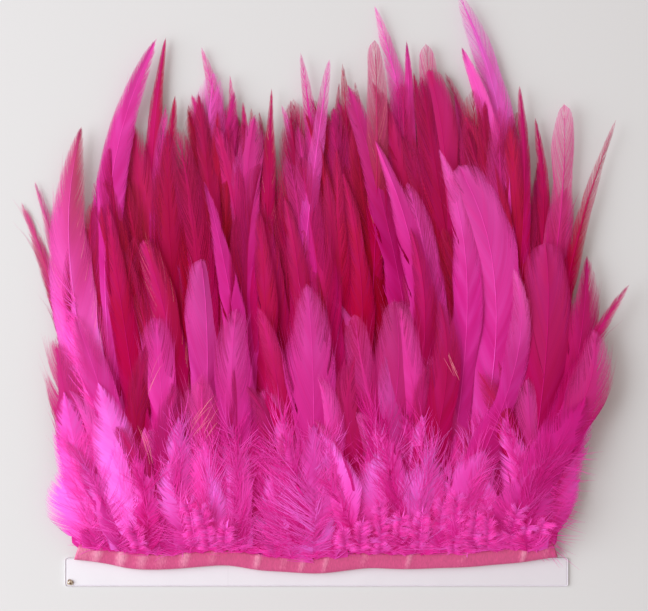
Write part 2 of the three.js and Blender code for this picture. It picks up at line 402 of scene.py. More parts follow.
# The line of a feather's shaft, with the half width of the feather along it
class Shaft:
    def __init__(self, places, halves):
        steps = np.linalg.norm(np.diff(places, axis=0), axis=1)
        self.runs = np.concatenate([[0], np.cumsum(steps)])
        self.length = self.runs[-1]
        self.places = places
        self.tangents = unit(np.gradient(places, self.runs, axis=0))
        self.across = unit(np.stack([self.tangents[:, 1], -self.tangents[:, 0], 0 * self.runs], axis=1))
        self.halves = np.append(halves[:-1] * self.across[:-1, 0].clip(0.4, 1), 0)

    # Fuller towards the tip, as the solid's outline ends in a point
    def rounder(self, power):
        widest = self.halves.max()
        self.halves = widest * (self.halves / widest).clip(0, 1) ** power

    # A stretch of the shaft with a width of its own
    def part(self, low, high, half, form):
        share = np.linspace(0, 1, 40)
        run = low + (min(high, self.length) - low) * share
        profile = np.array(form)
        return Shaft(self.read(self.places, run), half * np.interp(share, profile[:, 0], profile[:, 1]))

    def read(self, rows, run):
        return np.stack([np.interp(run, self.runs, rows[:, i]) for i in range(3)], axis=-1)

    def half(self, run):
        return np.interp(run, self.runs, self.halves)

    # Points at a run along the shaft and a distance to its right, past its end too
    def at(self, run, right, lift):
        inside = np.clip(run, 0, self.length)
        past = run - inside
        spot = self.read(self.places, inside) + self.read(self.tangents, inside) * past[..., None]
        spot = spot + self.read(self.across, inside) * right[..., None]
        spot[..., 2] += lift
        return spot


cutting = {"cuts": 90, "margins": inMm(0.1, 0.2), "evenX": 40, "evenZ": 6, "evenHalf": 4}


# Cuts a feather's solid at even heights and takes the middle and the half width of each cut
def shaftOfNode(name):
    mesh = frame["nodes"][name].data
    places = np.empty(len(mesh.vertices) * 3)
    mesh.vertices.foreach_get("co", places)
    places = places.reshape(-1, 3)
    ends = np.empty(len(mesh.edges) * 2, dtype=np.int32)
    mesh.edges.foreach_get("vertices", ends)
    first, second = places[ends[0::2]], places[ends[1::2]]
    below, above = cutting["margins"]
    low, high = places[:, 1].min() + below, places[:, 1].max() - above
    middles, halves = [], []
    for height in np.linspace(low, high, cutting["cuts"]):
        crossing = (first[:, 1] - height) * (second[:, 1] - height) < 0
        a, b = first[crossing], second[crossing]
        cut = a + (b - a) * ((height - a[:, 1]) / (b[:, 1] - a[:, 1]))[:, None]
        middles.append((cut.min(axis=0) + cut.max(axis=0)) / 2)
        halves.append(np.ptp(cut[:, 0]) / 2)
    middles = np.array(middles)
    middles[:, 0] = smoothed(middles[:, 0], cutting["evenX"])
    middles[:, 2] = smoothed(middles[:, 2], cutting["evenZ"])
    return Shaft(middles, smoothed(np.array(halves), cutting["evenHalf"]))


# How deep a feather's colour is at its foot, low, in the middle, high and at the tip
stretches = (0.0, 0.3, 0.55, 0.8, 1.0)
dyeing = {
    "hackle_fuchsia": {"depth": (0.06, 0.22, 0.38, 0.42, 0.36), "edge": -0.06, "pale": 0.16, "streak": 0.12},
    "hackle_crimson": {"depth": (0.24, 0.46, 0.72, 0.77, 0.68), "edge": -0.05, "pale": 0.06, "streak": 0.30},
    "hackle_plum": {"depth": (0.20, 0.44, 0.61, 0.64, 0.57), "edge": -0.06, "pale": 0.08, "streak": 0.22},
    "hackle_pink": {"depth": (0.12, 0.34, 0.32, 0.24, 0.18), "edge": -0.05, "pale": 0.30, "streak": 0.16},
}
plainDye = {"shift": 0, "tone": 0, "right": 0, "wash": 0, "straw": 0, "pale": 0}
rightFrom = (0.55, 0.85)  # where along a feather the right side turns deeper
paleFrom = (0.72, 1.0)  # and where the tip turns pale, less so next to the shaft
paleInside = 0.4


# Colour marks for places along and across one side of a feather
def dyeMarks(dye, along, across, side):
    depth = np.interp(along, stretches, dye["depth"]) + dye["edge"] * across ** 2 + dye["shift"]
    if side > 0:
        depth = depth + dye["right"] * np.interp(along, rightFrom, [0, 1]) * np.sqrt(across)
    inside = paleInside + (1 - paleInside) * across
    pale = dye["pale"] * np.interp(along, paleFrom, [0, 1]) * inside + dye["wash"]
    return {"dye": depth.clip(0, 1), "pale": pale.clip(0, 1)}


# One side of a feather: a closed web next to the shaft, and single barbs beyond it. Each kind of feather
# adds its start, the lowest place that a barb leaves the shaft, and its web, the closed share of a barb
vaneLook = {
    "angle": (30, 13),  # degrees between barb and shaft, at the foot and at the tip
    "webStep": 1.7 * mm,
    "webPoints": 5,
    "webAt": (0, 0.5, 0.8, 1),
    "webLimits": (0.03, 0.96),
    "leastRows": 8,
    "rootsTo": 0.995,  # share of the shaft's length
    "fringeStep": 0.4 * mm,
    "fringePoints": 4,
    "leastBarbs": 12,
    "tipJitter": 0.08 * mm,
    "tuckedIn": 0.06,  # how far inside the web a single barb begins
    "shorter": 0.1,
    "longer": 0.05,
    "spacing": (0.5, 1.5),  # least and most of the usual
    "thinnest": 0.022 * mm,
    "strawStrength": (0.2, 0.75),
    "filmFrom": 0.0,
    "filmStep": 2.5 * mm,
    "filmPoints": 4,
    "film": (0.0, 1.0),  # how clear the margin is at the web and at its edge, and the same at the tip
    "filmTip": (0.28, 0.95),
    "footClear": 0.0,  # how much clearer it is at the foot
    "uneven": 0.05,  # how much the web's width wanders
    "cover": (1.1, 0.8, 0.15),  # how much of its space a single barb covers, from the web to its end
    "openFrom": 0.75,
    "open": 0.5,  # how much barbs thin out from there to the tip
    "tilt": 0.2,
    "splits": 1.3,  # a side, on average
    "splitAt": (0.1, 0.93),
    "splitDeep": (0.25, 0.7),
    "splitOpens": (1.2, 1.5),  # at most, and the power by which it widens to the edge
    "gap": 5 * mm,
    "gapVaries": (0.3, 1),
    "gapFades": 4 * mm,  # barbs this far from a split are pushed apart too
    "ragged": 0.08,
    "lift": 0.0,
    "rise": 0.35 * mm,
    "waves": inMm(5, 7, 2.5),  # how often the edge, the height and the web wander
    "roof": 0.04,  # fall from the shaft to the edge
    "arch": 0.09,
    "curve": 1.6,  # how far the barbs bow outwards
    "mound": 0.0,  # how steeply the down falls away from the shaft, and where that ends
    "moundAt": inMm(30, 52),
    "crown": 3 * mm,  # how wide the top of the mound is
    "roll": (0, 0, 0),  # degrees that the feather turns over, low, high and at the tip
    "rollAt": (0.3, 0.7, 1),
    "lockLength": inMm(1.2, 4.5),  # barbs of one lock lean together
    "lockPull": 0.5,
    "lockCurve": 1.5,
    "floor": 0.08 * mm,
}


class Vane:
    def __init__(self, shaft, look, chance, side):
        self.shaft = shaft
        self.look = look
        self.side = side
        self.span = shaft.length - look["start"]
        self.splits = []
        for _ in range(chance.poisson(look["splits"])):
            place = look["start"] + self.span * chance.uniform(*look["splitAt"])
            gap = look["gap"] * chance.uniform(*look["gapVaries"])
            self.splits.append((place, gap, chance.uniform(*look["splitDeep"])))
        sizes = (look["ragged"], look["rise"], look["uneven"])
        self.ragged, self.rise, self.webDrift = (drift(chance, shaft.length, every, size)
                                                 for every, size in zip(look["waves"], sizes))

    def web(self, tips):
        share = np.interp(tips / self.shaft.length, self.look["webAt"], self.look["web"])
        return (share + self.webDrift(tips)).clip(*self.look["webLimits"])

    def rootsOf(self, tips, half):
        angle = np.radians(np.interp((tips - self.look["start"]) / self.span, [0, 1], self.look["angle"]))
        roots = np.minimum(tips - half / np.tan(angle), self.shaft.length * self.look["rootsTo"])
        return np.maximum(roots, self.look["lowest"])

    # Where barbs end, so that both their ends and their roots are about a step apart
    def tipsFrom(self, start, step, least):
        tips = np.linspace(start, self.shaft.length, 300)
        roots = self.rootsOf(tips, self.shaft.half(tips))
        travel = np.append(0, np.cumsum(np.diff(tips) + np.abs(np.diff(roots)))) / 2
        count = max(least, int(travel[-1] / step))
        return np.interp(np.linspace(0, travel[-1], count), travel, tips)

    # Points of the barbs that end level with 'tips' along the shaft, at steps from 0 at the shaft to 1
    def places(self, tips, steps, pull=0.0):
        look, shaft = self.look, self.shaft
        half = shaft.half(tips) * (1 + self.ragged(tips))
        roots = self.rootsOf(tips, half)
        parted = 0
        most, power = look["splitOpens"]
        for place, gap, begin in self.splits:
            away = tips - place
            pushed = np.sign(away) * gap / 2 * np.exp(-np.abs(away) / look["gapFades"])
            parted = parted + pushed[:, None] * ((steps - begin) / (1 - begin)).clip(0, most) ** power
        run = roots[:, None] + (tips - roots)[:, None] * steps + parted + pull
        out = 1 - np.sign(1 - steps) * np.abs(1 - steps) ** look["curve"]
        right = self.side * half[:, None] * out
        roll = np.radians(np.interp(run / shaft.length, look["rollAt"], look["roll"]))
        fall = look["roof"] * np.abs(right) + look["arch"] * right ** 2 / shaft.halves.max()
        mound = look["mound"] * np.interp(run, look["moundAt"], [1, 0])
        away = np.hypot(right, look["crown"]) - look["crown"]
        lift = look["lift"] + right * np.tan(roll) - fall - mound * away
        lift = lift + self.rise(tips)[:, None] * steps
        spots = shaft.at(run, right, lift)
        spots[..., 2] = np.maximum(spots[..., 2], look["floor"])
        return spots


# A side's closed web, or the see-through margin beyond it, where the barbs stand apart
def addWeb(bundle, vane, band, dye, film=False):
    look = vane.look
    if film:
        tips = vane.tipsFrom(max(look["start"], look["filmFrom"]), look["filmStep"], look["leastRows"])
        share = np.linspace(0, 1, look["filmPoints"])
        inner = vane.web(tips)[:, None]
        steps = inner + (1 - inner) * share
    else:
        tips = vane.tipsFrom(look["start"], look["webStep"], look["leastRows"])
        steps = np.linspace(0, 1, look["webPoints"]) * vane.web(tips)[:, None]
    keep = np.ones((len(tips) - 1, steps.shape[1] - 1), dtype=bool)
    for place, gap, begin in vane.splits:
        row = int(np.searchsorted(tips, place)) - 1
        if row >= 0:
            keep[row] = steps[row, :-1] < begin
    along = np.broadcast_to(tips[:, None] / vane.shaft.length, steps.shape)
    marks = dyeMarks(dye, along, steps, vane.side)
    if film:
        tipward = np.interp(along, [look["openFrom"], 1], [0, 1])
        inside, outside = (low + (tip - low) * tipward for low, tip in zip(look["film"], look["filmTip"]))
        foot = look["footClear"] * np.interp(along, [0, 0.2], [1, 0])
        marks["clear"] = inside + (outside - inside) * share + foot
    bundle.addSheet(vane.places(tips, steps), keep, vane.side < 0, band, film, strand=0.5 + dye["tone"],
                    barb=tips[:, None] / mm, across=steps, **marks)


def addFringe(bundle, vane, chance, band, dye):
    look, length = vane.look, vane.shaft.length
    start = max(look["start"], look["fringeFrom"])
    tips = vane.tipsFrom(start, look["fringeStep"], look["leastBarbs"])
    count = len(tips)
    tips = np.minimum(tips + chance.normal(0, look["tipJitter"], count), length)
    along = tips / length
    begin = (vane.web(tips) - look["tuckedIn"]).clip(0.02, 1)
    ends = 1 + chance.exponential(look["longer"], count) - look["shorter"] * chance.random(count) ** 2
    share = np.linspace(0, 1, look["fringePoints"])
    steps = begin[:, None] + (ends - begin)[:, None] * share
    edges = [start]
    while edges[-1] < length:
        edges.append(edges[-1] + chance.uniform(*look["lockLength"]))
    edges = np.array(edges)
    lock = (np.searchsorted(edges, tips, side="right") - 1).clip(0, len(edges) - 2)
    strength = chance.uniform(0, 1, len(edges))[lock] * look["lockPull"]
    pull = ((edges[lock] + edges[lock + 1]) / 2 - tips) * strength
    centres = vane.places(tips, steps, pull[:, None] * share ** look["lockCurve"])
    flat = flatAcross(centres)
    tilted = flat + [0, 0, 1] * chance.normal(0, look["tilt"], (count, 1, 1))
    apart = np.abs((np.gradient(centres, axis=0) * flat).sum(axis=2))
    usual = np.median(apart, axis=0)
    least, most = look["spacing"]
    apart = np.clip(apart, least * usual, most * usual)
    opening = 1 - look["open"] * np.interp(along, [look["openFrom"], 1], [0, 1])
    cover = np.interp(share, [0, 0.5, 1], look["cover"]) * opening[:, None]
    widths = np.maximum(apart * cover / 2, look["thinnest"])
    strand = (0.5 + dye["tone"] + chance.normal(0, dye["streak"], count)).clip(0, 1)
    marks = dyeMarks(dye, np.broadcast_to(along[:, None], steps.shape), steps, vane.side)
    straw = (chance.random(count) < dye["straw"]) * chance.uniform(*look["strawStrength"], count)
    bundle.addStrips(centres, unit(tilted), widths, band, strand=strand, straw=straw,
                     barb=tips / mm, across=steps, **marks)


# Soft barbs that stand round the foot of a shaft
fluffLook = {
    "points": 6,
    "thick": inMm(0.09, 0.06, 0.022),
    "thickAt": (0, 0.55, 1),
    "thickVaries": (0.6, 1.2),
    "wander": 0.055,
    "riseWander": 1.5 * mm,
    "lock": 5.625,  # barbs that hang together, on average
    "pull": 0.6,
    "pullCurve": 1.5,
    "own": 0.85,  # how far a barb goes its own way, and the same in brightness and in dye
    "ownBright": 0.5,
    "ownDye": 0.3,
    "astride": 0.5 * mm,
    "sag": 0.5,
    "mound": 0.0,
    "crown": 3 * mm,
    "lift": 0.5 * mm,
    # How much lighter a barb is at its tip than at its root: painted light
    "glow": 0.15,
    "bright": (0.36, 0.84),
    "shift": 0.0,
    "deep": 0.1,  # how much darker the dye is next to the shaft: painted shade
    "clearOf": 4.8 * mm,  # no barb's end comes lower than this, where the ribbon is
    "ribbonHalf": 76 * mm,
    "lowest": 0.15 * mm,
}


# A fan of them, in millimetres: the stretch of the shaft, how far apart they stand and how long they are.
# The angles are degrees from the shaft, low, high and how much they vary. A barb then turns to the tip
def fan(low, high, spacing, long, angle, turn, rise, dye, **more):
    return {"from": low * mm, "to": high * mm, "spacing": spacing * mm, "long": inMm(*long), "angle": angle,
            "turn": turn, "rise": rise, "dye": dye, **more}


def addFluff(bundle, shaft, chance, look, side, band):
    count = int((look["to"] - look["from"]) / look["spacing"])
    roots = np.sort(chance.uniform(look["from"], look["to"], count))
    locks = np.cumsum(chance.random(count) < 1 / look["lock"])  # the lock that each belongs to

    def shared(low, high, own=look["own"]):
        common = chance.uniform(low, high, locks.max() + 1)[locks]
        return common + (high - low) * own * chance.uniform(-0.5, 0.5, count)

    long = shared(*look["long"])
    foot, top, spread = look["angle"]
    angle = np.radians(foot + (top - foot) * (roots / look["to"]) + shared(-spread, spread))
    turn = np.radians(shared(*look["turn"]))
    rise = shared(*look["rise"])
    points = look["points"]
    steps = np.linspace(0, 1, points)
    heading = angle[:, None] - turn[:, None] * steps
    heading = heading + chance.normal(0, look["wander"], (count, points)).cumsum(axis=1)
    stride = long[:, None] / (points - 1)
    still = np.zeros((count, 1))
    middles = np.bincount(locks, roots) / np.maximum(np.bincount(locks), 1)
    pull = (middles[locks] - roots)[:, None] * look["pull"] * steps ** look["pullCurve"]
    run = roots[:, None] + np.concatenate([still, (np.cos(heading) * stride).cumsum(axis=1)[:, :-1]], axis=1)
    right = side * np.concatenate([still, (np.sin(heading) * stride).cumsum(axis=1)[:, :-1]], axis=1)
    right = right + chance.normal(0, look["astride"], (count, 1)) * (1 - steps)
    lift = long[:, None] * (rise[:, None] * steps - look["sag"] * np.abs(rise)[:, None] * steps ** 2)
    lift = lift + look["lift"] - look["mound"] * (np.hypot(right, look["crown"]) - look["crown"])
    lift = lift + chance.normal(0, look["wander"] * look["riseWander"], (count, points)).cumsum(axis=1)
    centres = shaft.at(run + pull, right, lift)
    centres[..., 2] = np.maximum(centres[..., 2], look["lowest"])
    beyondRibbon = np.abs(centres[:, -1, 0]) > look["ribbonHalf"]
    raised = np.where(beyondRibbon, 0, np.maximum(look["clearOf"] - centres[:, -1, 1], 0))
    centres[..., 1] += (raised * (1 - shared(0, 0.5)))[:, None] * steps
    widths = np.interp(steps, look["thickAt"], look["thick"])
    widths = widths * chance.uniform(*look["thickVaries"], (count, 1))
    # Painted light and shade: each barb lighter towards its tip, its dye darker next to the shaft
    strand = shared(*look["bright"], look["ownBright"])[:, None] + look["glow"] * (steps - 0.5)
    dye = shared(*look["dye"], look["ownDye"])[:, None] + look["shift"] + look["deep"] * (1 - steps)
    bundle.addStrips(centres, flatAcross(centres), widths, band, strand=strand.clip(0, 1),
                     dye=dye.clip(0, 1), barb=roots / mm, across=steps * np.ones((count, 1)))


# The soft part of a feather, wide and open, on a stretch of its shaft. What isn't here is as in a vane
tuftLook = {
    "form": ((0, 0.14), (0.2, 0.7), (0.45, 1), (0.72, 0.86), (0.88, 0.5), (1, 0)),
    "start": 1.5 * mm,
    "lowest": 0.3 * mm,
    "angle": (62, 24),
    "webStep": 1.5 * mm,
    "webAt": (0, 0.5, 1),
    "web": (0.50, 0.45, 0.38),
    "filmStep": 1.5 * mm,
    "film": (0.0, 1.1),
    "filmTip": (0.3, 1.1),
    "footClear": 0.9,
    "uneven": 0.14,
    "splits": 2.0,
    "gap": 2.5 * mm,
    "ragged": 0.14,
    "lift": 0.35 * mm,
    "rise": 0.5 * mm,
    "mound": 0.12,
    "moundAt": inMm(60, 80),
    "dye": (0.34, 0.24, 0.16, 0.12, 0.10),
    "edge": -0.12,
}


# One of them, in millimetres: the stretch of the shaft and its half width
def tuft(low, high, half, **more):
    return {"from": low * mm, "to": high * mm, "half": half * mm, **more}


def addTuft(bundle, shaft, chance, look, side, band, tone, shift, roll):
    look = {**vaneLook, **tuftLook, **look, "roll": (roll, roll, roll)}
    part = shaft.part(look["from"], look["to"], look["half"], look["form"])
    dye = {**plainDye, "depth": look["dye"], "edge": look["edge"], "tone": tone, "shift": shift}
    vane = Vane(part, look, chance, side)
    middle = (band[0] + band[1]) / 2
    addWeb(bundle, vane, (band[0], middle), dye)
    if look["film"]:
        addWeb(bundle, vane, (middle, band[1]), dye, film=True)


rodTaper = {
    "at": (0, 0.3, 0.8, 1),
    "thick": (1, 0.75, 0.5, 0.32),
    "ends": 0.97,  # share of the shaft's length
    "paler": 0.2,
    "bright": 0.75,
    "barbs": 90,  # what its barb mark counts to
    "floor": 0.05 * mm,
}


# The shaft itself, a tapering rod with a pointed end
def addRod(bundle, shaft, look, band, dye, lift):
    stations, sides = look["rodStations"], look["rodSides"]
    runs = np.linspace(0, shaft.length * rodTaper["ends"], stations)
    centre = shaft.read(shaft.places, runs)
    right = shaft.read(shaft.across, runs)
    radius = look["rod"] * np.interp(runs / shaft.length, rodTaper["at"], rodTaper["thick"])
    turn = np.linspace(0, 2 * math.pi, sides, endpoint=False)
    ring = np.cos(turn)[None, :, None] * right[:, None, :]
    ring = ring + np.sin(turn)[None, :, None] * np.array([0, 0, 1.0])
    places = (centre[:, None, :] + ring * radius[:, None, None]).reshape(-1, 3)
    places[:, 2] = np.maximum(places[:, 2] + lift, rodTaper["floor"])
    quads = []
    for row in range(stations - 1):
        for i in range(sides):
            a, b = row * sides + i, row * sides + (i + 1) % sides
            quads.append((a, b, b + sides, a + sides))
    foot = [(0, i + 1, i) for i in range(1, sides - 1)]
    top = (stations - 1) * sides
    head = [(top, top + i, top + i + 1) for i in range(1, sides - 1)]
    u = np.repeat(np.linspace(0.02, 0.98, stations), sides)
    v = np.tile(np.linspace(band[0], band[1], sides), stations)
    along = np.repeat(runs / shaft.length, sides)
    marks = dyeMarks(dye, along, 0 * along, -1)
    marks["dye"] = (marks["dye"] - rodTaper["paler"]).clip(0, 1)
    bundle.add(places, np.array(quads), np.array(foot + head), np.stack([u, v], axis=1),
               strand=rodTaper["bright"], barb=along * rodTaper["barbs"], **marks)


featherLook = {
    "rounded": 0.8,  # less is fuller towards the tip
    "rodStations": 20,
    "rodSides": 5,
    "reach": (1, 1),  # of its down, as a share, from feather to feather
    "brighter": 0,  # painted light: how much lighter and paler its down is than usual, raised at the lit left end and lowered at the shaded right end
    "paler": 0,
    "downShift": {"usual": (0.03, 0.07), "limits": (-0.06, 0.16)},  # of the dye: its middle, how it varies
    "downTone": {"usual": (0.02, 0.1), "limits": (-0.15, 0.14)},
    "fanSize": (0.7, 1.3),
    "fanSwing": 12,  # degrees
    "fans": [],
    "tufts": [],
}
# Where each part of a feather lies on its map, for the left side, the right and both
mapBands = {
    "rod": (0.96, 0.99),
    -1: {"web": (0.0, 0.14), "film": (0.14, 0.19), "fringe": (0.38, 0.49), "down": 0.62, "tuftGap": 0},
    1: {"web": (0.19, 0.33), "film": (0.33, 0.37), "fringe": (0.50, 0.61), "down": 0.72, "tuftGap": 0.01},
    "fans": (0.055, 0.04),
    "tufts": (0.20, 0.06),
    "used": 0.95,
}


def addFeather(bundle, shaft, chance, look, dye):
    look = {**featherLook, **look, "vane": {**vaneLook, **look["vane"]}}
    dye = {**plainDye, **dye}
    bundle.seed = chance.random()
    shaft.rounder(look["rounded"])
    addRod(bundle, shaft, look, mapBands["rod"], dye, look["vane"]["lift"])
    for side in (-1, 1):
        vane = Vane(shaft, look["vane"], chance, side)
        addWeb(bundle, vane, mapBands[side]["web"], dye)
        addWeb(bundle, vane, mapBands[side]["film"], dye, film=True)
        addFringe(bundle, vane, chance, mapBands[side]["fringe"], dye)
    shift, tone = (np.clip(chance.normal(*spread["usual"]), *spread["limits"])
                   for spread in (look["downShift"], look["downTone"]))
    # Painted light on the down, lighter and paler at the lit left end, darker at the shaded right end
    shift, tone = shift - look["paler"], tone + look["brighter"]
    reach = np.interp(bundle.seed, [0, 1], look["reach"])
    for kind in ("fans", "tufts"):
        start, share = mapBands[kind]
        for number, part in enumerate(look[kind]):
            part = {**part, "to": part["to"] * reach}
            each = share / len(look[kind])
            size = chance.uniform(*look["fanSize"])
            swing = chance.normal(0, look["fanSwing"], 2)
            for side in part.get("sides", (-1, 1)):
                low = mapBands[side]["down"] + start + number * each
                low = low + (mapBands[side]["tuftGap"] if kind == "tufts" else 0)
                band = (low, low + mapBands["used"] * each)
                if kind == "tufts":
                    addTuft(bundle, shaft, chance, part, side, band, tone, shift, look["vane"]["roll"][0])
                    continue
                foot, top, spread = part["angle"]
                swung = swing[(side + 1) // 2]
                swungAngle = (foot + swung, top + swung * 0.5, spread)
                own = {**fluffLook, **part, "shift": shift, "angle": swungAngle}
                own["long"] = [length * size for length in own["long"]]
                own["bright"] = [light + tone for light in own["bright"]]
                addFluff(bundle, shaft, chance, own, side, band)


# How the dyes and the rows of the solids differ
vaneOfDye = {
    "hackle_fuchsia": {"web": (0.84, 0.80, 0.70, 0.45)},
    "hackle_pink": {"web": (0.82, 0.76, 0.55, 0.25), "openFrom": 0.65, "open": 0.55},
    "hackle_plum": {"web": (0.76, 0.70, 0.54, 0.28), "angle": (26, 11), "tilt": 0.3, "ragged": 0.12},
    "hackle_crimson": {"web": (0.64, 0.58, 0.44, 0.22), "angle": (24, 10), "tilt": 0.35, "openFrom": 0.7,
                       "open": 0.6, "ragged": 0.12},
}
closedTip = {"web": (0.84, 0.82, 0.74, 0.55), "open": 0.3, "filmTip": (0.1, 0.8)}
solidTip = {**closedTip, "splits": 0}
openTip = {"webAt": (0, 0.5, 0.72, 1), "web": (0.80, 0.62, 0.2, 0.04), "openFrom": 0.6, "open": 0.75,
           "filmTip": (0.6, 0.85)}
ovalTip = {**openTip, "filmTip": (0.66, 0.55), "open": 0.88, "splits": 0}
# One whose web ends early, with long bare barbs above it
bareTip = {"webAt": (0, 0.55, 0.8, 1), "web": (0.84, 0.8, 0.4, 0.05), "openFrom": 0.62, "open": 0.75,
           "filmTip": (0.62, 0.9)}
straggly = {"web": (0.85, 0.70, 0.2, 0.04), "longer": 0.2, "lockPull": 0.8}
# A low tuft that lies under the others, its dye darker as painted shade
hiddenTuft = {"film": None, "web": (0.9, 0.85, 0.8), "ragged": 0.3, "dye": (0.40, 0.36, 0.34, 0.32, 0.32),
              "form": ((0, 0.08), (0.3, 0.5), (0.6, 1), (0.85, 0.7), (1, 0))}
rowLooks = {
    "hackle_back": {
        "rod": 0.18 * mm,
        "rounded": 0.65,
        "vane": {"start": 30 * mm, "lowest": 18 * mm, "fringeFrom": 42 * mm, "filmFrom": 34 * mm},
        "tufts": [tuft(8, 46, 3.5, mound=0, dye=(0.4, 0.4, 0.4, 0.4, 0.4), film=None, web=(0.9, 0.9, 0.9))],
    },
    "hackle_middle": {
        "rod": 0.17 * mm,
        "reach": (0.75, 1.2),
        "vane": {"start": 8 * mm, "lowest": 4 * mm, "fringeFrom": 24 * mm, "mound": 0.1, "splits": 1.8,
                 "longer": 0.09},
        "fans": [fan(6, 38, 0.4, (6, 11), (55, 22, 16), (-10, 25), (0, 0.08), (0.07, 0.22), mound=0.1)],
        "tufts": [tuft(2, 34, 4, **hiddenTuft), tuft(14, 46, 5.5, dye=(0.34, 0.30, 0.27, 0.25, 0.24))],
    },
    "hackle_front": {
        "rod": 0.12 * mm,
        "vane": {"start": 4 * mm, "lowest": 2 * mm, "longer": 0.12, "lockPull": 0.8, "mound": 0.14,
                 "web": (0.82, 0.74, 0.55, 0.22), "fringeStep": 0.3 * mm, "cover": (0.9, 0.5, 0.12),
                 "fringeFrom": 12 * mm},
        "fans": [fan(2, 36, 0.24, (7, 13), (62, 24, 18), (-10, 30), (0, 0.1), (0.03, 0.18), mound=0.14,
                     astride=1 * mm)],
        "tufts": [tuft(1, 26, 9), tuft(10, 40, 8, lift=0.6 * mm)],
    },
}


# A feather's own vane and, by name, what else sets it apart: its dye, tip, rod, fans and tufts of down
def like(vane=(), **more):
    dye = {name: more.pop(name) for name in (*plainDye, "depth") if name in more}
    return {"vane": dict(vane), "dye": dye, **more}


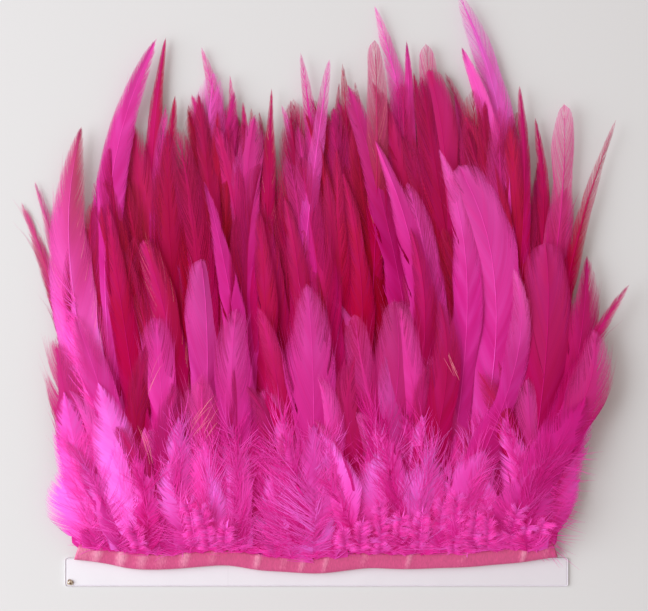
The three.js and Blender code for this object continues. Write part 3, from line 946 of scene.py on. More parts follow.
thickRod = 0.24 * mm
special = {
    "hackle_back": {
        1: like(straggly, straw=0.12, pale=0.5, shift=-0.15),
        2: like(straggly, straw=0.12, pale=0.5, shift=-0.2),
        3: like(straggly, straw=0.1, pale=0.5, shift=-0.2),
        4: like({"web": (0.8, 0.7, 0.5, 0.4), "lockPull": 0.9, "splits": 3}, shift=-0.06, rounded=0.55),
        5: like(shift=-0.1),
        6: like({"open": 0.7, "openFrom": 0.55}, right=0.2),
        8: like(bareTip, shift=-0.02, pale=0.2, rounded=0.55),
        9: like(openTip),
        10: like(openTip, shift=-0.15),
        12: like(straw=0.15),
        13: like(bareTip),
        14: like(bareTip, shift=0.02),
        15: like(bareTip),
        16: like(openTip, pale=0.4, rounded=0.5),
        17: like(openTip),
        18: like(openTip, straw=0.1),
        19: like(openTip),
        20: like(ovalTip, pale=0.5, straw=0.04, rounded=0.45, rod=thickRod),
        21: like(openTip),
        23: like(ovalTip, pale=0.5, straw=0.04, rounded=0.45, rod=thickRod),
        24: like(solidTip, shift=0.04, tone=-0.1, rounded=0.3),
        26: like({**bareTip, "web": (0.88, 0.84, 0.45, 0.05)}, shift=-0.08, pale=0.4, rounded=0.5),
        27: like(closedTip, shift=0.02, rounded=0.6),
        31: like(ovalTip, pale=0.5, shift=-0.1, rounded=0.45, rod=thickRod),
        32: like({**openTip, "web": (0.6, 0.36, 0.14, 0.03), "open": 0.85, "filmTip": (0.75, 0.95)},
                 pale=0.3, rod=thickRod),
    },
    "hackle_middle": {
        1: like({"splits": 3, "gap": 6 * mm, "web": (0.75, 0.68, 0.55, 0.3)},
                depth=(0.06, 0.20, 0.34, 0.52, 0.9), shift=-0.27, right=0.42, straw=0.06, tone=0.04,
                wash=0.12, brighter=0.3, paler=0.16, reach=(1, 1),
                fans=[fan(5, 84, 0.4, (8, 15), (55, 25, 14), (-5, 25), (0, 0.12), (0.0, 0.12), sides=(-1,))],
                tufts=[tuft(2, 44, 9, dye=(0.20, 0.15, 0.11, 0.09, 0.08)),
                       tuft(30, 84, 8.5, dye=(0.12, 0.1, 0.09, 0.09, 0.09), sides=(-1,), angle=(50, 20))]),
        2: like(brighter=0.22, paler=0.15, reach=(1, 1),
                tufts=[tuft(2, 50, 9, dye=(0.20, 0.15, 0.12, 0.1, 0.09))]),
        3: like({"lift": 0.9 * mm, "splits": 0, "web": (0.8, 0.78, 0.7, 0.4)},
                straw=0.08, shift=-0.13, right=0.15, tone=0.1, rounded=0.5),
        4: like(solidTip, tone=-0.15, rounded=0.45),
        6: like({"web": (0.85, 0.85, 0.8, 0.4)}, shift=-0.2, tone=-0.15),
        12: like(tone=-0.1, shift=0.08),
        13: like({**closedTip, "splits": 1, "gap": 2.5 * mm, "lift": 0.7 * mm}, shift=-0.07, rounded=0.5),
        14: like(solidTip, tone=-0.1, rounded=0.5),
        15: like(tone=-0.1, reach=(1, 1),
                 tufts=[tuft(3, 60, 8, sides=(1,), angle=(60, 30)), tuft(3, 46, 7)]),
        16: like(straggly, tone=-0.15, reach=(1, 1),
                 fans=[fan(2, 50, 0.4, (10, 18), (95, 60, 20), (-5, 30), (-0.1, 0.1), (0.14, 0.26),
                           sides=(1,))]),
    },
    "hackle_front": {
        1: like({"roll": (0, 0, 0)}, shift=0.12, brighter=0.26, paler=0.1,
                tufts=[tuft(1, 36, 12, dye=(0.22, 0.15, 0.10, 0.08, 0.06), angle=(85, 30)),
                       tuft(12, 54, 8, dye=(0.20, 0.16, 0.15, 0.17, 0.2), lift=0.6 * mm)]),
        2: like(brighter=0.3, paler=0.18,
                tufts=[tuft(1, 40, 10, dye=(0.25, 0.18, 0.13, 0.10, 0.08)),
                       tuft(12, 60, 7.5, dye=(0.22, 0.17, 0.14, 0.15, 0.17), lift=0.6 * mm)]),
        3: like(shift=0.12, pale=0.1),
        6: like({"splits": 3, "gap": 4 * mm, "ragged": 0.14},
                tufts=[tuft(1, 38, 19, dye=(0.24, 0.15, 0.1, 0.08, 0.08), sides=(-1,), angle=(85, 30),
                            splits=4, lift=0.5 * mm, mound=0.07),
                       tuft(1, 36, 10, sides=(1,)),
                       tuft(12, 48, 8, dye=(0.3, 0.26, 0.26, 0.28, 0.28), lift=0.7 * mm)],
                fans=[fan(2, 27, 0.2, (17, 27), (88, 52, 9), (-8, 14), (0, 0.04), (0.08, 0.2), sides=(-1,),
                          mound=0.08, lift=1.3 * mm, bright=(0.48, 0.8), points=8),
                      fan(6, 40, 0.4, (7, 12), (50, 22, 16), (-10, 25), (0, 0.08), (0.08, 0.18),
                          mound=0.14)]),
        7: like({**solidTip, "web": (0.85, 0.82, 0.74, 0.5)}, shift=0.1, tone=-0.05, rounded=0.5),
        9: like(shift=0.1, tone=-0.1),
        10: like(shift=0.12, tone=-0.1, brighter=-0.12, paler=-0.08,
                 tufts=[tuft(1, 40, 10, angle=(80, 30)),
                        tuft(12, 60, 9, dye=(0.34, 0.28, 0.26, 0.30, 0.34), lift=0.6 * mm)]),
    },
}

hackles = sorted(name for name in frame["nodes"] if name.startswith("hackle"))
varied = {"seed": 100, "shift": 0.04, "tone": 0.08, "roll": 7, "tipRoll": 8}
triangleCount = 0
for number, name in enumerate(hackles):
    chance = np.random.default_rng(varied["seed"] + number)
    slot = slotOf[name]
    bundle = Bundle()
    row, place = name.rsplit("_", 1)
    own = special[row].get(int(place), like())
    dye = {"shift": chance.normal(0, varied["shift"]), "tone": chance.normal(0, varied["tone"])}
    dye = {**dyeing[slot], **dye, **own["dye"]}
    turn = chance.normal(0, varied["roll"])
    roll = (turn, turn, turn + chance.normal(0, varied["tipRoll"]))
    vane = {**vaneOfDye[slot], **rowLooks[row]["vane"], "roll": roll, **own["vane"]}
    addFeather(bundle, shaftOfNode(name), chance, {**rowLooks[row], **own, "vane": vane}, dye)
    piece = bundle.build(name + "_feather", featherPaints[slot])
    triangleCount += trianglesOf(piece)
    keepPiece(piece, name)
print("hackles dressed:", len(hackles), "triangles:", triangleCount)

# Feathers that lie between those, from the same row of quills, in a mesh for each dye
lean = {"at": inMm(-72, -50, -30, -10, 10, 30, 50, 62, 72), "by": inMm(-8, -9, -4, -8, -12, -15, -17, -9, 3)}
thinRod = {"rodStations": 10, "rodSides": 3}
betweenVaried = {
    "root": 0.8 * mm,
    "shift": 0.06,
    "tone": (-0.04, 0.12),
    "roll": (8, 1.3, 10),  # degrees low down, how many times that high up, and degrees that the tip adds
}
paintedShadeBelow = {"lowest": 0.15, "perLayer": 0.04, "least": -0.04}  # painted shade: the dye is darker the lower a feather lies under the others
between = {
    "name": "_between",
    "seed": 7,
    "count": 210,
    "rootSpan": 72 * mm,
    "tipsAt": inMm(-80, -68, -60, -53, -41, -29, -14, -2, 18, 42, 56, 70, 82),
    "tips": inMm(98, 127, 136, 139, 145, 150, 140, 146, 149, 154, 145, 133, 110),
    "highShare": 0.66,  # of them, and how high those and the others reach
    "high": (0.88, 1.03),
    "low": (0.55, 0.9),
    "lean": 1.0,
    "spread": 6.0 * mm,
    "bend": 5.0 * mm,
    "layers": (0.2, 3.2),  # from the lowest up
    "half": inMm(3.4, 6.2),
    "openShare": 0.68,
    "look": {**thinRod, "rod": 0.15 * mm, "rounded": 0.6},
    "vane": {"start": 5 * mm, "lowest": 2 * mm, "webStep": 3.2 * mm, "webPoints": 4, "fringeFrom": 48 * mm,
             "fringeStep": 1.2 * mm, "fringePoints": 3, "ragged": 0.12, "filmFrom": 50 * mm,
             "filmStep": 4 * mm, "splits": 1.5},
    "shift": 0.02,
    "leftShift": 0,
    "dyes": (("hackle_crimson", 0.60), ("hackle_plum", 0.25), ("hackle_fuchsia", 0.15)),
}
# Short soft ones that lie over the feet of the long ones
frontBetween = {
    "name": "_short",
    "seed": 11,
    "count": 34,
    "rootSpan": 71 * mm,
    "tipsAt": inMm(-80, 80),
    "tips": inMm(84, 84),
    "highShare": 0.5,
    "high": (0.72, 1.0),
    "low": (0.45, 0.72),
    "lean": 0.7,
    "spread": 6.5 * mm,
    "bend": 4.5 * mm,
    "layers": (4.6, 7.4),
    "half": inMm(3.5, 6.0),
    "openShare": 0.2,
    "look": {**thinRod, "rod": 0.12 * mm, "rounded": 0.7, "reach": (0.7, 1.2),
             "fans": [fan(2, 38, 0.38, (6, 12), (58, 24, 16), (-10, 30), (0, 0.1), (0.08, 0.24), mound=0.1)],
             "tufts": [tuft(1, 26, 4, **hiddenTuft), tuft(10, 40, 5.5)]},
    "vane": {"start": 4 * mm, "lowest": 2 * mm, "webStep": 2.5 * mm, "longer": 0.14, "lockPull": 0.8,
             "mound": 0.1, "ragged": 0.1, "web": (0.8, 0.64, 0.4, 0.15), "cover": (0.9, 0.5, 0.12),
             "fringeFrom": 14 * mm},
    "shift": 0.05,
    "leftShift": -0.16,  # the dye is pinker at the left end
    "dyes": (("hackle_crimson", 0.06), ("hackle_plum", 0.34), ("hackle_fuchsia", 0.6)),
}
leftEnd = inMm(-72, -45)
tipSpan = inMm(-77, 78)
footHeight = 5 * mm
vaneForms = {
    "pointed": ((0, 0.45), (0.3, 0.8), (0.5, 1), (0.68, 0.92), (0.84, 0.6), (0.94, 0.28), (1, 0)),
    "round": ((0, 0.45), (0.3, 0.7), (0.55, 0.92), (0.75, 1), (0.88, 0.86), (0.96, 0.5), (1, 0)),
}
# How high a layer lies along the feathers, and how far the layers are apart
layerRise = {"at": inMm(5.6, 11, 20, 60), "pitch": inMm(0, 1.1, 1.3, 1)}
lowestLayer = {"at": inMm(5.6, 11, 110, 185), "z": inMm(1.9, 0.45, 0.45, 2.4)}


def heightOf(layer, heights):
    lowest = np.interp(heights, lowestLayer["at"], lowestLayer["z"])
    return lowest + layer * np.interp(heights, layerRise["at"], layerRise["pitch"])


def shaftBetween(rootX, tip, bend, half, form, layer):
    heights = np.linspace(footHeight, tip[1], 60)
    share = heights / tip[1]
    x = rootX + (tip[0] - rootX) * share ** 2 + bend * share ** 2 * (1 - share) * 4
    profile = np.array(vaneForms[form])
    halves = half * np.interp(share, profile[:, 0], profile[:, 1])
    return Shaft(np.stack([x, heights, heightOf(layer, heights)], axis=1), halves)


def feathersBetween(look):
    chance = np.random.default_rng(look["seed"])
    names, weights = zip(*look["dyes"])
    picked = chance.choice(names, look["count"], p=weights)
    bundles = {name: Bundle(int((picked == name).sum())) for name in names}
    for number, name in enumerate(picked):
        bundle = bundles[name]
        rootX = ((number + 0.5) / look["count"] * 2 - 1) * look["rootSpan"]
        rootX = rootX + chance.normal(0, betweenVaried["root"])
        tipX = rootX + look["lean"] * np.interp(rootX, lean["at"], lean["by"])
        tipX = np.clip(tipX + chance.normal(0, look["spread"]), *tipSpan)
        tipY = np.interp(tipX, look["tipsAt"], look["tips"])
        tipY = tipY * chance.uniform(*(look["high"] if chance.random() < look["highShare"] else look["low"]))
        half = chance.uniform(*look["half"])
        form = chance.choice(["pointed", "round"])
        layer = chance.uniform(*look["layers"])
        shaft = shaftBetween(rootX, (tipX, tipY), chance.normal(0, look["bend"]), half, form, layer)
        # Painted shade: feathers in lower layers get a darker dye
        shift = max(paintedShadeBelow["lowest"] - paintedShadeBelow["perLayer"] * layer, paintedShadeBelow["least"])
        shift = chance.normal(shift + look["shift"], betweenVaried["shift"])
        shift = shift + np.interp(rootX, leftEnd, (look["leftShift"], 0))
        dye = {**dyeing[name], "shift": shift, "tone": chance.normal(*betweenVaried["tone"])}
        lowRoll, highRoll, tipRoll = betweenVaried["roll"]
        turn = chance.normal(0, lowRoll)
        roll = (turn, turn * highRoll, turn + chance.normal(0, tipRoll))
        vane = {**vaneOfDye[name], **look["vane"], "roll": roll}
        if chance.random() < look["openShare"]:
            vane.update(openTip)
        addFeather(bundle, shaft, chance, {**look["look"], "vane": vane}, dye)
        bundle.page += 1
    for name, bundle in bundles.items():
        piece = bundle.build(name + look["name"], featherPaints[name])
        keepPiece(piece)
        print(piece.name, "triangles:", trianglesOf(piece))


feathersBetween(between)
feathersBetween(frontBetween)

# Small curled plumes of down that stand at the foot of the hackles, along the ribbon
plumes = {
    "seed": 21,
    "shaftPoints": 20,
    "at": inMm(-55.8, -37.3, -34.9, -28.6, 8.5, 14.2, 19.6, 25.5, 31.3, 37.7, 42.3, 48.6, 53.9, 58.9, 64.2,
               69.4),
    "stray": 0.5 * mm,
    "start": inMm(4.6, 7),  # above the ribbon's lower edge
    "reach": inMm(9, 22),
    "half": inMm(0.3, 0.5),
    "foot": inMm(4.2, 5.2),  # heights
    "top": inMm(6.0, 8.0),
    "sway": (2.0 * mm, 0.05),  # by chance, and outwards from the middle of the ribbon
    "curlsTo": 0.97,  # share of the reach
    "form": ((0, 0.6), (0.2, 1), (0.8, 0.9), (1, 0.2)),
    "varied": {"shift": (0, 0.04), "tone": (0.05, 0.08)},
    "vane": {"start": 0.6 * mm, "lowest": 0.1 * mm, "web": (1, 0.9, 0.7, 0.4), "angle": (50, 30),
             "webStep": 1.2 * mm, "mound": 0.5, "moundAt": inMm(60, 80), "splits": 0, "rise": 0.4 * mm,
             "ragged": 0.3},
    "dye": {"depth": (0.3, 0.24, 0.2, 0.16, 0.12), "edge": 0},
    # Their curls are lighter at the tips and darker at the roots, as painted light and shade
    "curls": fan(0.1, 0, 0.045, (1.6, 4.0), (84, 62, 26), (-30, 60), (0.1, 0.4), (-0.04, 0.1),
                 thick=inMm(0.08, 0.07, 0.025), sag=0.8, wander=0.1, lock=8.75, points=4, own=0.6, deep=0.26,
                 glow=0.5, bright=(0.4, 0.95), mound=0.15, astride=0.3 * mm, lift=0),
}
# The low bed of down that they rise from
bedCurls = {"sag": 0.8, "bright": (0.4, 0.95), "mound": 0.05, "points": 5, "astride": 0.3 * mm}
bed = {
    **plumes,
    "at": inMm(*np.linspace(-70, 70, 44)),
    "stray": 1.5 * mm,
    "start": inMm(3.9, 4.6),
    "reach": inMm(9, 18),
    "half": inMm(3.0, 4.5),
    "foot": inMm(3.0, 3.5),
    "top": inMm(0.4, 1.6),
    "vane": {**tuftLook, "mound": 0.1, "lift": 0, "web": (0.9, 0.85, 0.7)},
    "dye": {"depth": (0.36, 0.28, 0.22, 0.2, 0.2), "edge": -0.05},
    "curls": fan(0.1, 0, 0.2, (4, 8), (66, 30, 24), (-20, 30), (0, 0.12), (0.08, 0.3), **bedCurls),
}
# Low down of the tallest feathers, under all the rest
ground = {
    **bed,
    "at": inMm(*np.linspace(-71, 71, 30)),
    "start": inMm(5.2, 6.0),
    "reach": inMm(34, 50),
    "half": inMm(4.2, 5.5),
    "foot": inMm(1.2, 1.8),
    "top": inMm(-0.8, -0.3),
    "vane": {**tuftLook, "mound": 0, "lift": 0, "web": (0.95, 0.95, 0.95)},
    "dye": {"depth": (0.38, 0.38, 0.38, 0.38, 0.38), "edge": 0},
    "curls": {**bed["curls"], "spacing": 2.5 * mm},
}

# Where a plume lies on its half of the map
plumeBands = {"web": np.array([0, 0.07]), "curls": np.array([0.14, 0.48])}


# The line of the ribbon's lower edge
def ribbonFoot():
    mesh = frame["nodes"]["satin_ribbon"].data
    places = np.array([vertex.co[:] for vertex in mesh.vertices])
    samples = np.linspace(places[:, 0].min(), places[:, 0].max(), 76)
    lower = [places[np.abs(places[:, 0] - x) < 3 * mm, 1].min() for x in samples]
    return samples, smoothed(np.array(lower), 2)


ribbonX, ribbonLower = ribbonFoot()


def standPlumes(name, look):
    chance = np.random.default_rng(look["seed"])
    bundle = Bundle(len(look["at"]))
    for number, x in enumerate(look["at"]):
        bundle.page = number
        bundle.seed = chance.random()
        x = x + chance.normal(0, look["stray"])
        foot = np.interp(x, ribbonX, ribbonLower) + chance.uniform(*look["start"])
        reach = chance.uniform(*look["reach"])
        steps = np.linspace(0, 1, look["shaftPoints"])
        stray, outwards = look["sway"]
        sway = chance.normal(0, stray) + outwards * x
        z = chance.uniform(*look["foot"]) + chance.uniform(*look["top"]) * (1 - (1 - steps) ** 2)
        halves = chance.uniform(*look["half"]) * np.interp(steps, *zip(*look["form"]))
        shaft = Shaft(np.stack([x + sway * steps ** 2, foot + reach * steps, z], axis=1), halves)
        curls = {**fluffLook, **look["curls"], "to": reach * look["curlsTo"]}
        dye = {key: chance.normal(*spread) for key, spread in look["varied"].items()}
        dye = {**plainDye, **look["dye"], **dye}
        for side, low in ((-1, 0.0), (1, 0.5)):
            vane = Vane(shaft, {**vaneLook, **look["vane"]}, chance, side)
            addWeb(bundle, vane, low + plumeBands["web"], dye)
            addFluff(bundle, shaft, chance, curls, side, low + plumeBands["curls"])
    piece = bundle.build(name, featherPaints["hackle_fuchsia"])
    keepPiece(piece)
    print(piece.name, "triangles:", trianglesOf(piece))


standPlumes("down_plumes", plumes)
standPlumes("down_bed", bed)
standPlumes("down_ground", ground)

# Barbs that took little dye, in small groups near the top of the down
strawBarbs = {
    "seed": 31,
    "points": 6,
    "groups": (  # mm along, mm up, degrees to the right of straight up, how many
        (-51.5, 38.0, -12, 6), (-37.5, 44.5, 34, 8), (-34.5, 43.0, 26, 6), (-51.5, 60.0, 6, 3),
        (43.5, 58.5, -24, 5),
    ),
    "long": inMm(5, 10),
    "apart": 0.4 * mm,
    "stray": inMm(0.2, 2.5),  # sideways, and along the feathers
    "turn": (4, 12),  # degrees, where a barb starts and by its end
    "slant": 0.3,  # how much lower each starts than the one to its left, as a share of their distance
    "height": 8.0 * mm,
    "uneven": 0.5 * mm,
    "fall": 1.2 * mm,
    "thick": 0.045 * mm,
    "taper": (0.12, 0.85),  # the part of a half wave that a barb's width follows: its start, its length
    "straw": (0.3, 0.75),
    "bright": 0.9,
    "depth": 0.3,
}


def scatterStrawBarbs(look):
    chance = np.random.default_rng(look["seed"])
    bundle = Bundle(len(look["groups"]))
    steps = np.linspace(0, 1, look["points"])
    for page, (x, y, turn, count) in enumerate(look["groups"]):
        bundle.page = page
        bundle.seed = chance.random()
        early, late = look["turn"]
        heading = turn + chance.normal(0, early, (count, 1)) + chance.uniform(-late, late) * steps
        heading = np.radians(heading)
        long = chance.uniform(*look["long"], (count, 1))
        beside = (np.arange(count)[:, None] - count / 2) * look["apart"]
        beside = beside + chance.normal(0, look["stray"][0], (count, 1))
        start = chance.normal(0, look["stray"][1], (count, 1)) - look["slant"] * beside
        right = x * mm + beside + long * steps * np.sin(heading)
        up = y * mm + start + long * steps * np.cos(heading)
        height = look["height"] + chance.uniform(0, look["uneven"], (count, 1))
        height = height - look["fall"] * steps ** 2
        centres = np.stack([right, up, height], axis=2)
        begin, rest = look["taper"]
        widths = look["thick"] * np.sin(math.pi * (begin + rest * steps)) * np.ones((count, 1))
        straw = chance.uniform(*look["straw"], count)
        bundle.addStrips(centres, flatAcross(centres), widths, (0, 1), strand=look["bright"], straw=straw,
                         dye=look["depth"], barb=np.arange(count) * 1.0)
    keepPiece(bundle.build("straw_barbs", featherPaints["hackle_plum"]))


scatterStrawBarbs(strawBarbs)

# The satin ribbon, folded round the quills, with creases across it and a painted highlight on their crests
ribbon = {
    "width": 5.0 * mm,
    "ends": inMm(-75.6, 75.2),
    "endSlant": 1.6 * mm,
    "underside": 0.85 * mm,
    "top": 2.95 * mm,
    "wall": 0.12 * mm,
    "flat": (13.1 * mm, 151 * mm),
    "steps": (240, 14),  # along and across
    "creases": (  # mm along, mm high, mm wide
        (-73.5, 0.18, 3.0), (-69.0, 0.30, 1.5), (-61.5, 0.34, 1.5), (-55.0, 0.20, 1.8), (-49.0, 0.12, 2.2),
        (-41.7, 0.24, 1.6), (-33.0, 0.12, 1.4), (-19.2, 0.26, 1.1), (-11.0, 0.10, 1.5), (-5.2, 0.20, 1.0),
        (2.0, 0.20, 0.9), (14.0, 0.10, 1.8), (28.0, 0.22, 0.9), (45.0, 0.08, 1.6), (63.9, 0.30, 0.9),
        (71.0, 0.10, 1.4),
    ),
    "creaseSlant": 0.25,
    "creaseTallest": 0.3 * mm,
    "creaseReach": 0.6,  # share of the top, from the open edge, where creases have their full height
    "heightWaves": inMm(0.06, 3.1),  # size and length
    "edgeWaves": inMm(0.1, 5.3),
    "colour": (0.66, 0.082, 0.245, 1),
    "gleam": (0.90, 0.36, 0.53, 1),
    "gleamAt": (0.6, 0.9),  # how high a crease must stand to carry the painted highlight, and how softly that begins
    "gleamMost": 0.8,
    "weave": (2600, 900, 900),
    "weaveGleam": 0.7,  # how far the weave breaks up the painted highlight, and how far the colour
    "weaveShade": 0.5,
    "weaveBump": (0.3, 0.1 * mm),
    "rough": 0.42,
    "gloss": 0.4,
}


def ribbonPaint(look):
    paint = Paint("ribbon_paint")
    spot = paint.node("TexCoord", output="Object")
    weave = paint.noise(paint.node("Mapping", Vector=spot, Scale=look["weave"]), 1, 2)
    # Painted highlight: the satin is lighter on the crest of each crease, broken up by the weave
    paintedSheen = (paint.mark("ridge") + weave * look["weaveGleam"]).above(*look["gleamAt"])
    colour = paint.blend(paintedSheen * look["gleamMost"], look["colour"], look["gleam"])
    colour = paint.shade(colour, weave * look["weaveShade"] + 1)
    strength, distance = look["weaveBump"]
    bump = paint.node("Bump", Strength=strength, Distance=distance, Height=weave)
    return paint.finish(Base_Color=colour, Roughness=look["rough"], Specular_IOR_Level=look["gloss"],
                        Normal=bump)


def waves(x, sizes):
    return sizes[0] * np.sin(x / sizes[1])


def makeRibbon(look):
    stepsAlong, stepsAcross = look["steps"]
    bpy.ops.mesh.primitive_grid_add(x_subdivisions=stepsAlong, y_subdivisions=stepsAcross, size=1)
    piece = bpy.context.object
    piece.name = "folded_ribbon"
    mesh = piece.data
    flat = np.empty(len(mesh.vertices) * 3)
    mesh.vertices.foreach_get("co", flat)
    flat = flat.reshape(-1, 3)
    along, path = flat[:, 0] + 0.5, flat[:, 1] + 0.5
    radius = (look["top"] - look["underside"]) / 2
    straight = look["width"] - radius
    total = 2 * straight + math.pi * radius
    run = path * total
    turn = ((run - straight) / radius).clip(0, math.pi)
    fromFold = np.where(run > total - straight, run - total + straight, 0)
    fromFold = np.where(run < straight, straight - run, fromFold)
    y = radius - radius * np.sin(turn) + fromFold
    z = look["underside"] + radius - radius * np.cos(turn)
    low, high = look["ends"]
    slant = look["endSlant"] * y / look["width"]
    x = low + slant + (high - low - 2 * slant) * along
    tallest = look["creaseTallest"]
    ridge = sum(np.exp(-((x / mm - place - look["creaseSlant"] * y / mm) / wide) ** 2) * tall * mm / tallest
                for place, tall, wide in look["creases"])
    # 0 on the underside, 1 on top
    upper = np.interp(run, [straight, total - straight * look["creaseReach"]], [0, 1])
    z = z + ridge * tallest * upper + waves(x, look["heightWaves"]) * upper
    y = y + np.interp(x, ribbonX, ribbonLower) + waves(x, look["edgeWaves"]) * upper
    mesh.vertices.foreach_set("co", np.stack([x, y, z], axis=1).reshape(-1))
    layer = mesh.attributes.new("ridge", "FLOAT", "POINT")
    layer.data.foreach_set("value", (ridge * upper).astype(np.float32))
    bpy.ops.object.mode_set(mode="EDIT")
    bpy.ops.mesh.select_all(action="SELECT")
    bpy.ops.mesh.normals_make_consistent(inside=False)
    bpy.ops.object.mode_set(mode="OBJECT")
    wall = piece.modifiers.new("wall", "SOLIDIFY")
    wall.thickness = look["wall"]
    wall.offset = 0
    bpy.ops.object.modifier_apply(modifier="wall")
    bpy.ops.object.shade_smooth()
    mesh.materials.append(ribbonPaint(look))
    keepPiece(piece, "satin_ribbon")
    print("ribbon folded, triangles:", trianglesOf(piece))


makeRibbon(ribbon)

# The thread along the ribbon's open edge
seam = {
    "pitch": 1.7 * mm,
    "long": 1.2 * mm,
    "thick": 0.09 * mm,
    "fromEdge": 0.55 * mm,
    "fromEnds": 2.5 * mm,
    "height": 3.05 * mm,
    "sides": 6,
    "rings": 5,
    "colour": (0.66, 0.10, 0.27, 1),
    "rough": 0.5,
}


def makeSeam(look):
    clearSelection()
    low, high = ribbon["ends"]
    stitches = []
    for x in np.arange(low + look["fromEnds"], high - look["fromEnds"], look["pitch"]):
        place = (x, np.interp(x, ribbonX, ribbonLower) + ribbon["width"] - look["fromEdge"], look["height"])
        bpy.ops.mesh.primitive_uv_sphere_add(segments=look["sides"], ring_count=look["rings"], radius=1,
                                             location=place)
        stitch = bpy.context.object
        stitch.scale = (look["long"] / 2, look["thick"], look["thick"])
        stitches.append(stitch)
    for stitch in stitches:
        stitch.select_set(True)
    bpy.ops.object.join()
    bpy.ops.object.transform_apply(location=True, rotation=True, scale=True)
    bpy.ops.object.shade_smooth()
    piece = bpy.context.object
    piece.name = "seam_thread"
    paint = Paint("thread_paint")
    piece.data.materials.append(paint.finish(Base_Color=look["colour"], Roughness=look["rough"]))
    keepPiece(piece)


makeSeam(seam)

# The backing strip, cut from pale card, with a faint darker line painted across it
strip = {
    "corner": 0.7 * mm,
    "cornerSteps": 5,
    "edge": 0.08 * mm,
    "edgeSteps": 2,
    "edgeAngle": 50,  # degrees: sharper edges than this are rounded
    "smoothAngle": 35,  # and flatter ones than this are shaded smooth
    "colour": (0.82, 0.78, 0.84, 1),
    "foldAt": -27.7 * mm,
    "foldWide": 0.12 * mm,
    "mottle": (120, 3, 0.06),  # scale, detail and strength
    "foldDark": 0.05,
    "rough": 0.45,
    "gloss": 0.3,
}


def stripPaint(look):
    paint = Paint("strip_paint")
    spot = paint.node("TexCoord", output="Object")
    x = paint.node("SeparateXYZ", Vector=spot)
    scale, detail, strength = look["mottle"]
    mottled = paint.noise(spot, scale, detail)
    # A faint darker line painted across the strip
    line = 1 - (x - look["foldAt"]).maths("ABSOLUTE").above(look["foldWide"], look["foldWide"])
    colour = paint.shade(look["colour"], 1 + mottled * strength - line * look["foldDark"])
    return paint.finish(Base_Color=colour, Roughness=look["rough"], Specular_IOR_Level=look["gloss"])


def makeStrip(look):
    corners = np.array([vertex.co[:] for vertex in frame["nodes"]["backing_strip"].data.vertices])
    low, high = corners.min(axis=0), corners.max(axis=0)
    bpy.ops.mesh.primitive_cube_add(size=1, location=(low + high) / 2, scale=high - low)
    bpy.ops.object.transform_apply(location=True, rotation=True, scale=True)
    piece = bpy.context.object
    piece.name = "card_strip"
    mesh = piece.data
    for part in (*mesh.vertices, *mesh.edges, *mesh.polygons):
        part.select = False
    for edge in mesh.edges:
        first, second = (mesh.vertices[i].co for i in edge.vertices)
        edge.select = abs(first.z - second.z) > 0.1 * mm
    bpy.ops.object.mode_set(mode="EDIT")
    bpy.ops.mesh.select_mode(type="EDGE")
    bpy.ops.mesh.bevel(offset=look["corner"], segments=look["cornerSteps"], affect="EDGES")
    bpy.ops.object.mode_set(mode="OBJECT")
    rim = piece.modifiers.new("rim", "BEVEL")
    rim.width = look["edge"]
    rim.segments = look["edgeSteps"]
    rim.limit_method = "ANGLE"
    rim.angle_limit = math.radians(look["edgeAngle"])
    bpy.ops.object.modifier_apply(modifier="rim")
    bpy.ops.object.shade_smooth_by_angle(angle=math.radians(look["smoothAngle"]))
    mesh.materials.append(stripPaint(look))
    keepPiece(piece, "backing_strip")


makeStrip(strip)

# A dried lump of glue near the strip's left end
glue = {
    "seed": 5,
    "fineness": 4,
    "place": inMm(-77.0, -3.1, 0.7),
    "size": inMm(1.05, 0.85, 0.5),
    "bumps": 16,
    "tall": (-0.35, 0.4),
    "narrow": 6,
    "patches": (1300, 2),
    "rough": 0.35,
    # Dark brown spots, tan, and near white patches, the near white a painted highlight
    "colours": [
        (0.36, (0.10, 0.045, 0.03, 1)),
        (0.45, (0.36, 0.24, 0.14, 1)),
        (0.56, (0.50, 0.40, 0.28, 1)),
        (0.64, (0.80, 0.76, 0.70, 1)),
    ],
}


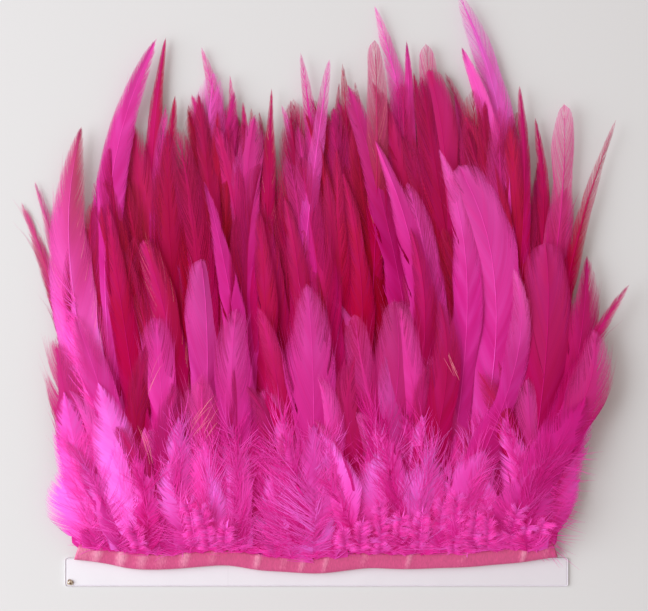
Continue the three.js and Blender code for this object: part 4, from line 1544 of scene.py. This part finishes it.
def makeGlue(look):
    bpy.ops.mesh.primitive_ico_sphere_add(subdivisions=look["fineness"], radius=1, location=(0, 0, 0))
    piece = bpy.context.object
    piece.name = "glue_lump"
    chance = np.random.default_rng(look["seed"])
    bumps = [(unit(chance.normal(0, 1, 3)), chance.uniform(*look["tall"])) for _ in range(look["bumps"])]
    for vertex in piece.data.vertices:
        spot = np.array(vertex.co)
        swell = 1 + sum(tall * math.exp(look["narrow"] * (spot @ toward - 1)) for toward, tall in bumps)
        vertex.co = [spot[i] * swell * look["size"][i] + look["place"][i] for i in range(3)]
    bpy.ops.object.shade_smooth()
    paint = Paint("glue_paint")
    spot = paint.node("TexCoord", output="Object")
    scale, detail = look["patches"]
    # Patches of tan and brown, with a painted highlight in near white
    colour = paint.ramp(paint.node("TexNoise", Vector=spot, Scale=scale, Detail=detail), look["colours"])
    piece.data.materials.append(paint.finish(Base_Color=colour, Roughness=look["rough"]))
    keepPiece(piece)


makeGlue(glue)
print("ribbon, seam, strip and glue done")

# Floor and light
room = {
    "floorSize": 4,
    "floorColour": (0.745, 0.73, 0.74, 1),
    "floorRough": 0.9,
    "floorHeight": -0.05 * mm,
    "airColour": (1, 0.925, 0.87, 1),
    "airLight": 0.51,
    "windowPlace": (-0.88, 0.03, 0.66),
    "windowAim": (0.0, 0.08, 0),
    "windowSize": 1.05,
    "windowPower": 14.2,
    "windowColour": (0.915, 0.97, 1),
}


def makeRoom(look):
    bpy.ops.mesh.primitive_plane_add(size=look["floorSize"], location=(0, 0, look["floorHeight"]))
    floor = bpy.context.object
    floor.name = "floor"
    paint = Paint("floor_paint")
    floor.data.materials.append(paint.finish(Base_Color=look["floorColour"], Roughness=look["floorRough"]))
    data = bpy.data.lights.new("window", "AREA")
    data.size = look["windowSize"]
    data.energy = look["windowPower"]
    data.color = look["windowColour"]
    lamp = bpy.data.objects.new("window", data)
    lamp.location = look["windowPlace"]
    toward = Vector(look["windowAim"]) - Vector(look["windowPlace"])
    lamp.rotation_euler = toward.to_track_quat("-Z", "Y").to_euler()
    scene.collection.objects.link(lamp)
    world = bpy.data.worlds.new("room")
    world.use_nodes = True
    air = world.node_tree.nodes["Background"].inputs
    air["Color"].default_value = look["airColour"]
    air["Strength"].default_value = look["airLight"]
    scene.world = world
    scene.view_settings.view_transform = "Standard"


makeRoom(room)
print("room lit")
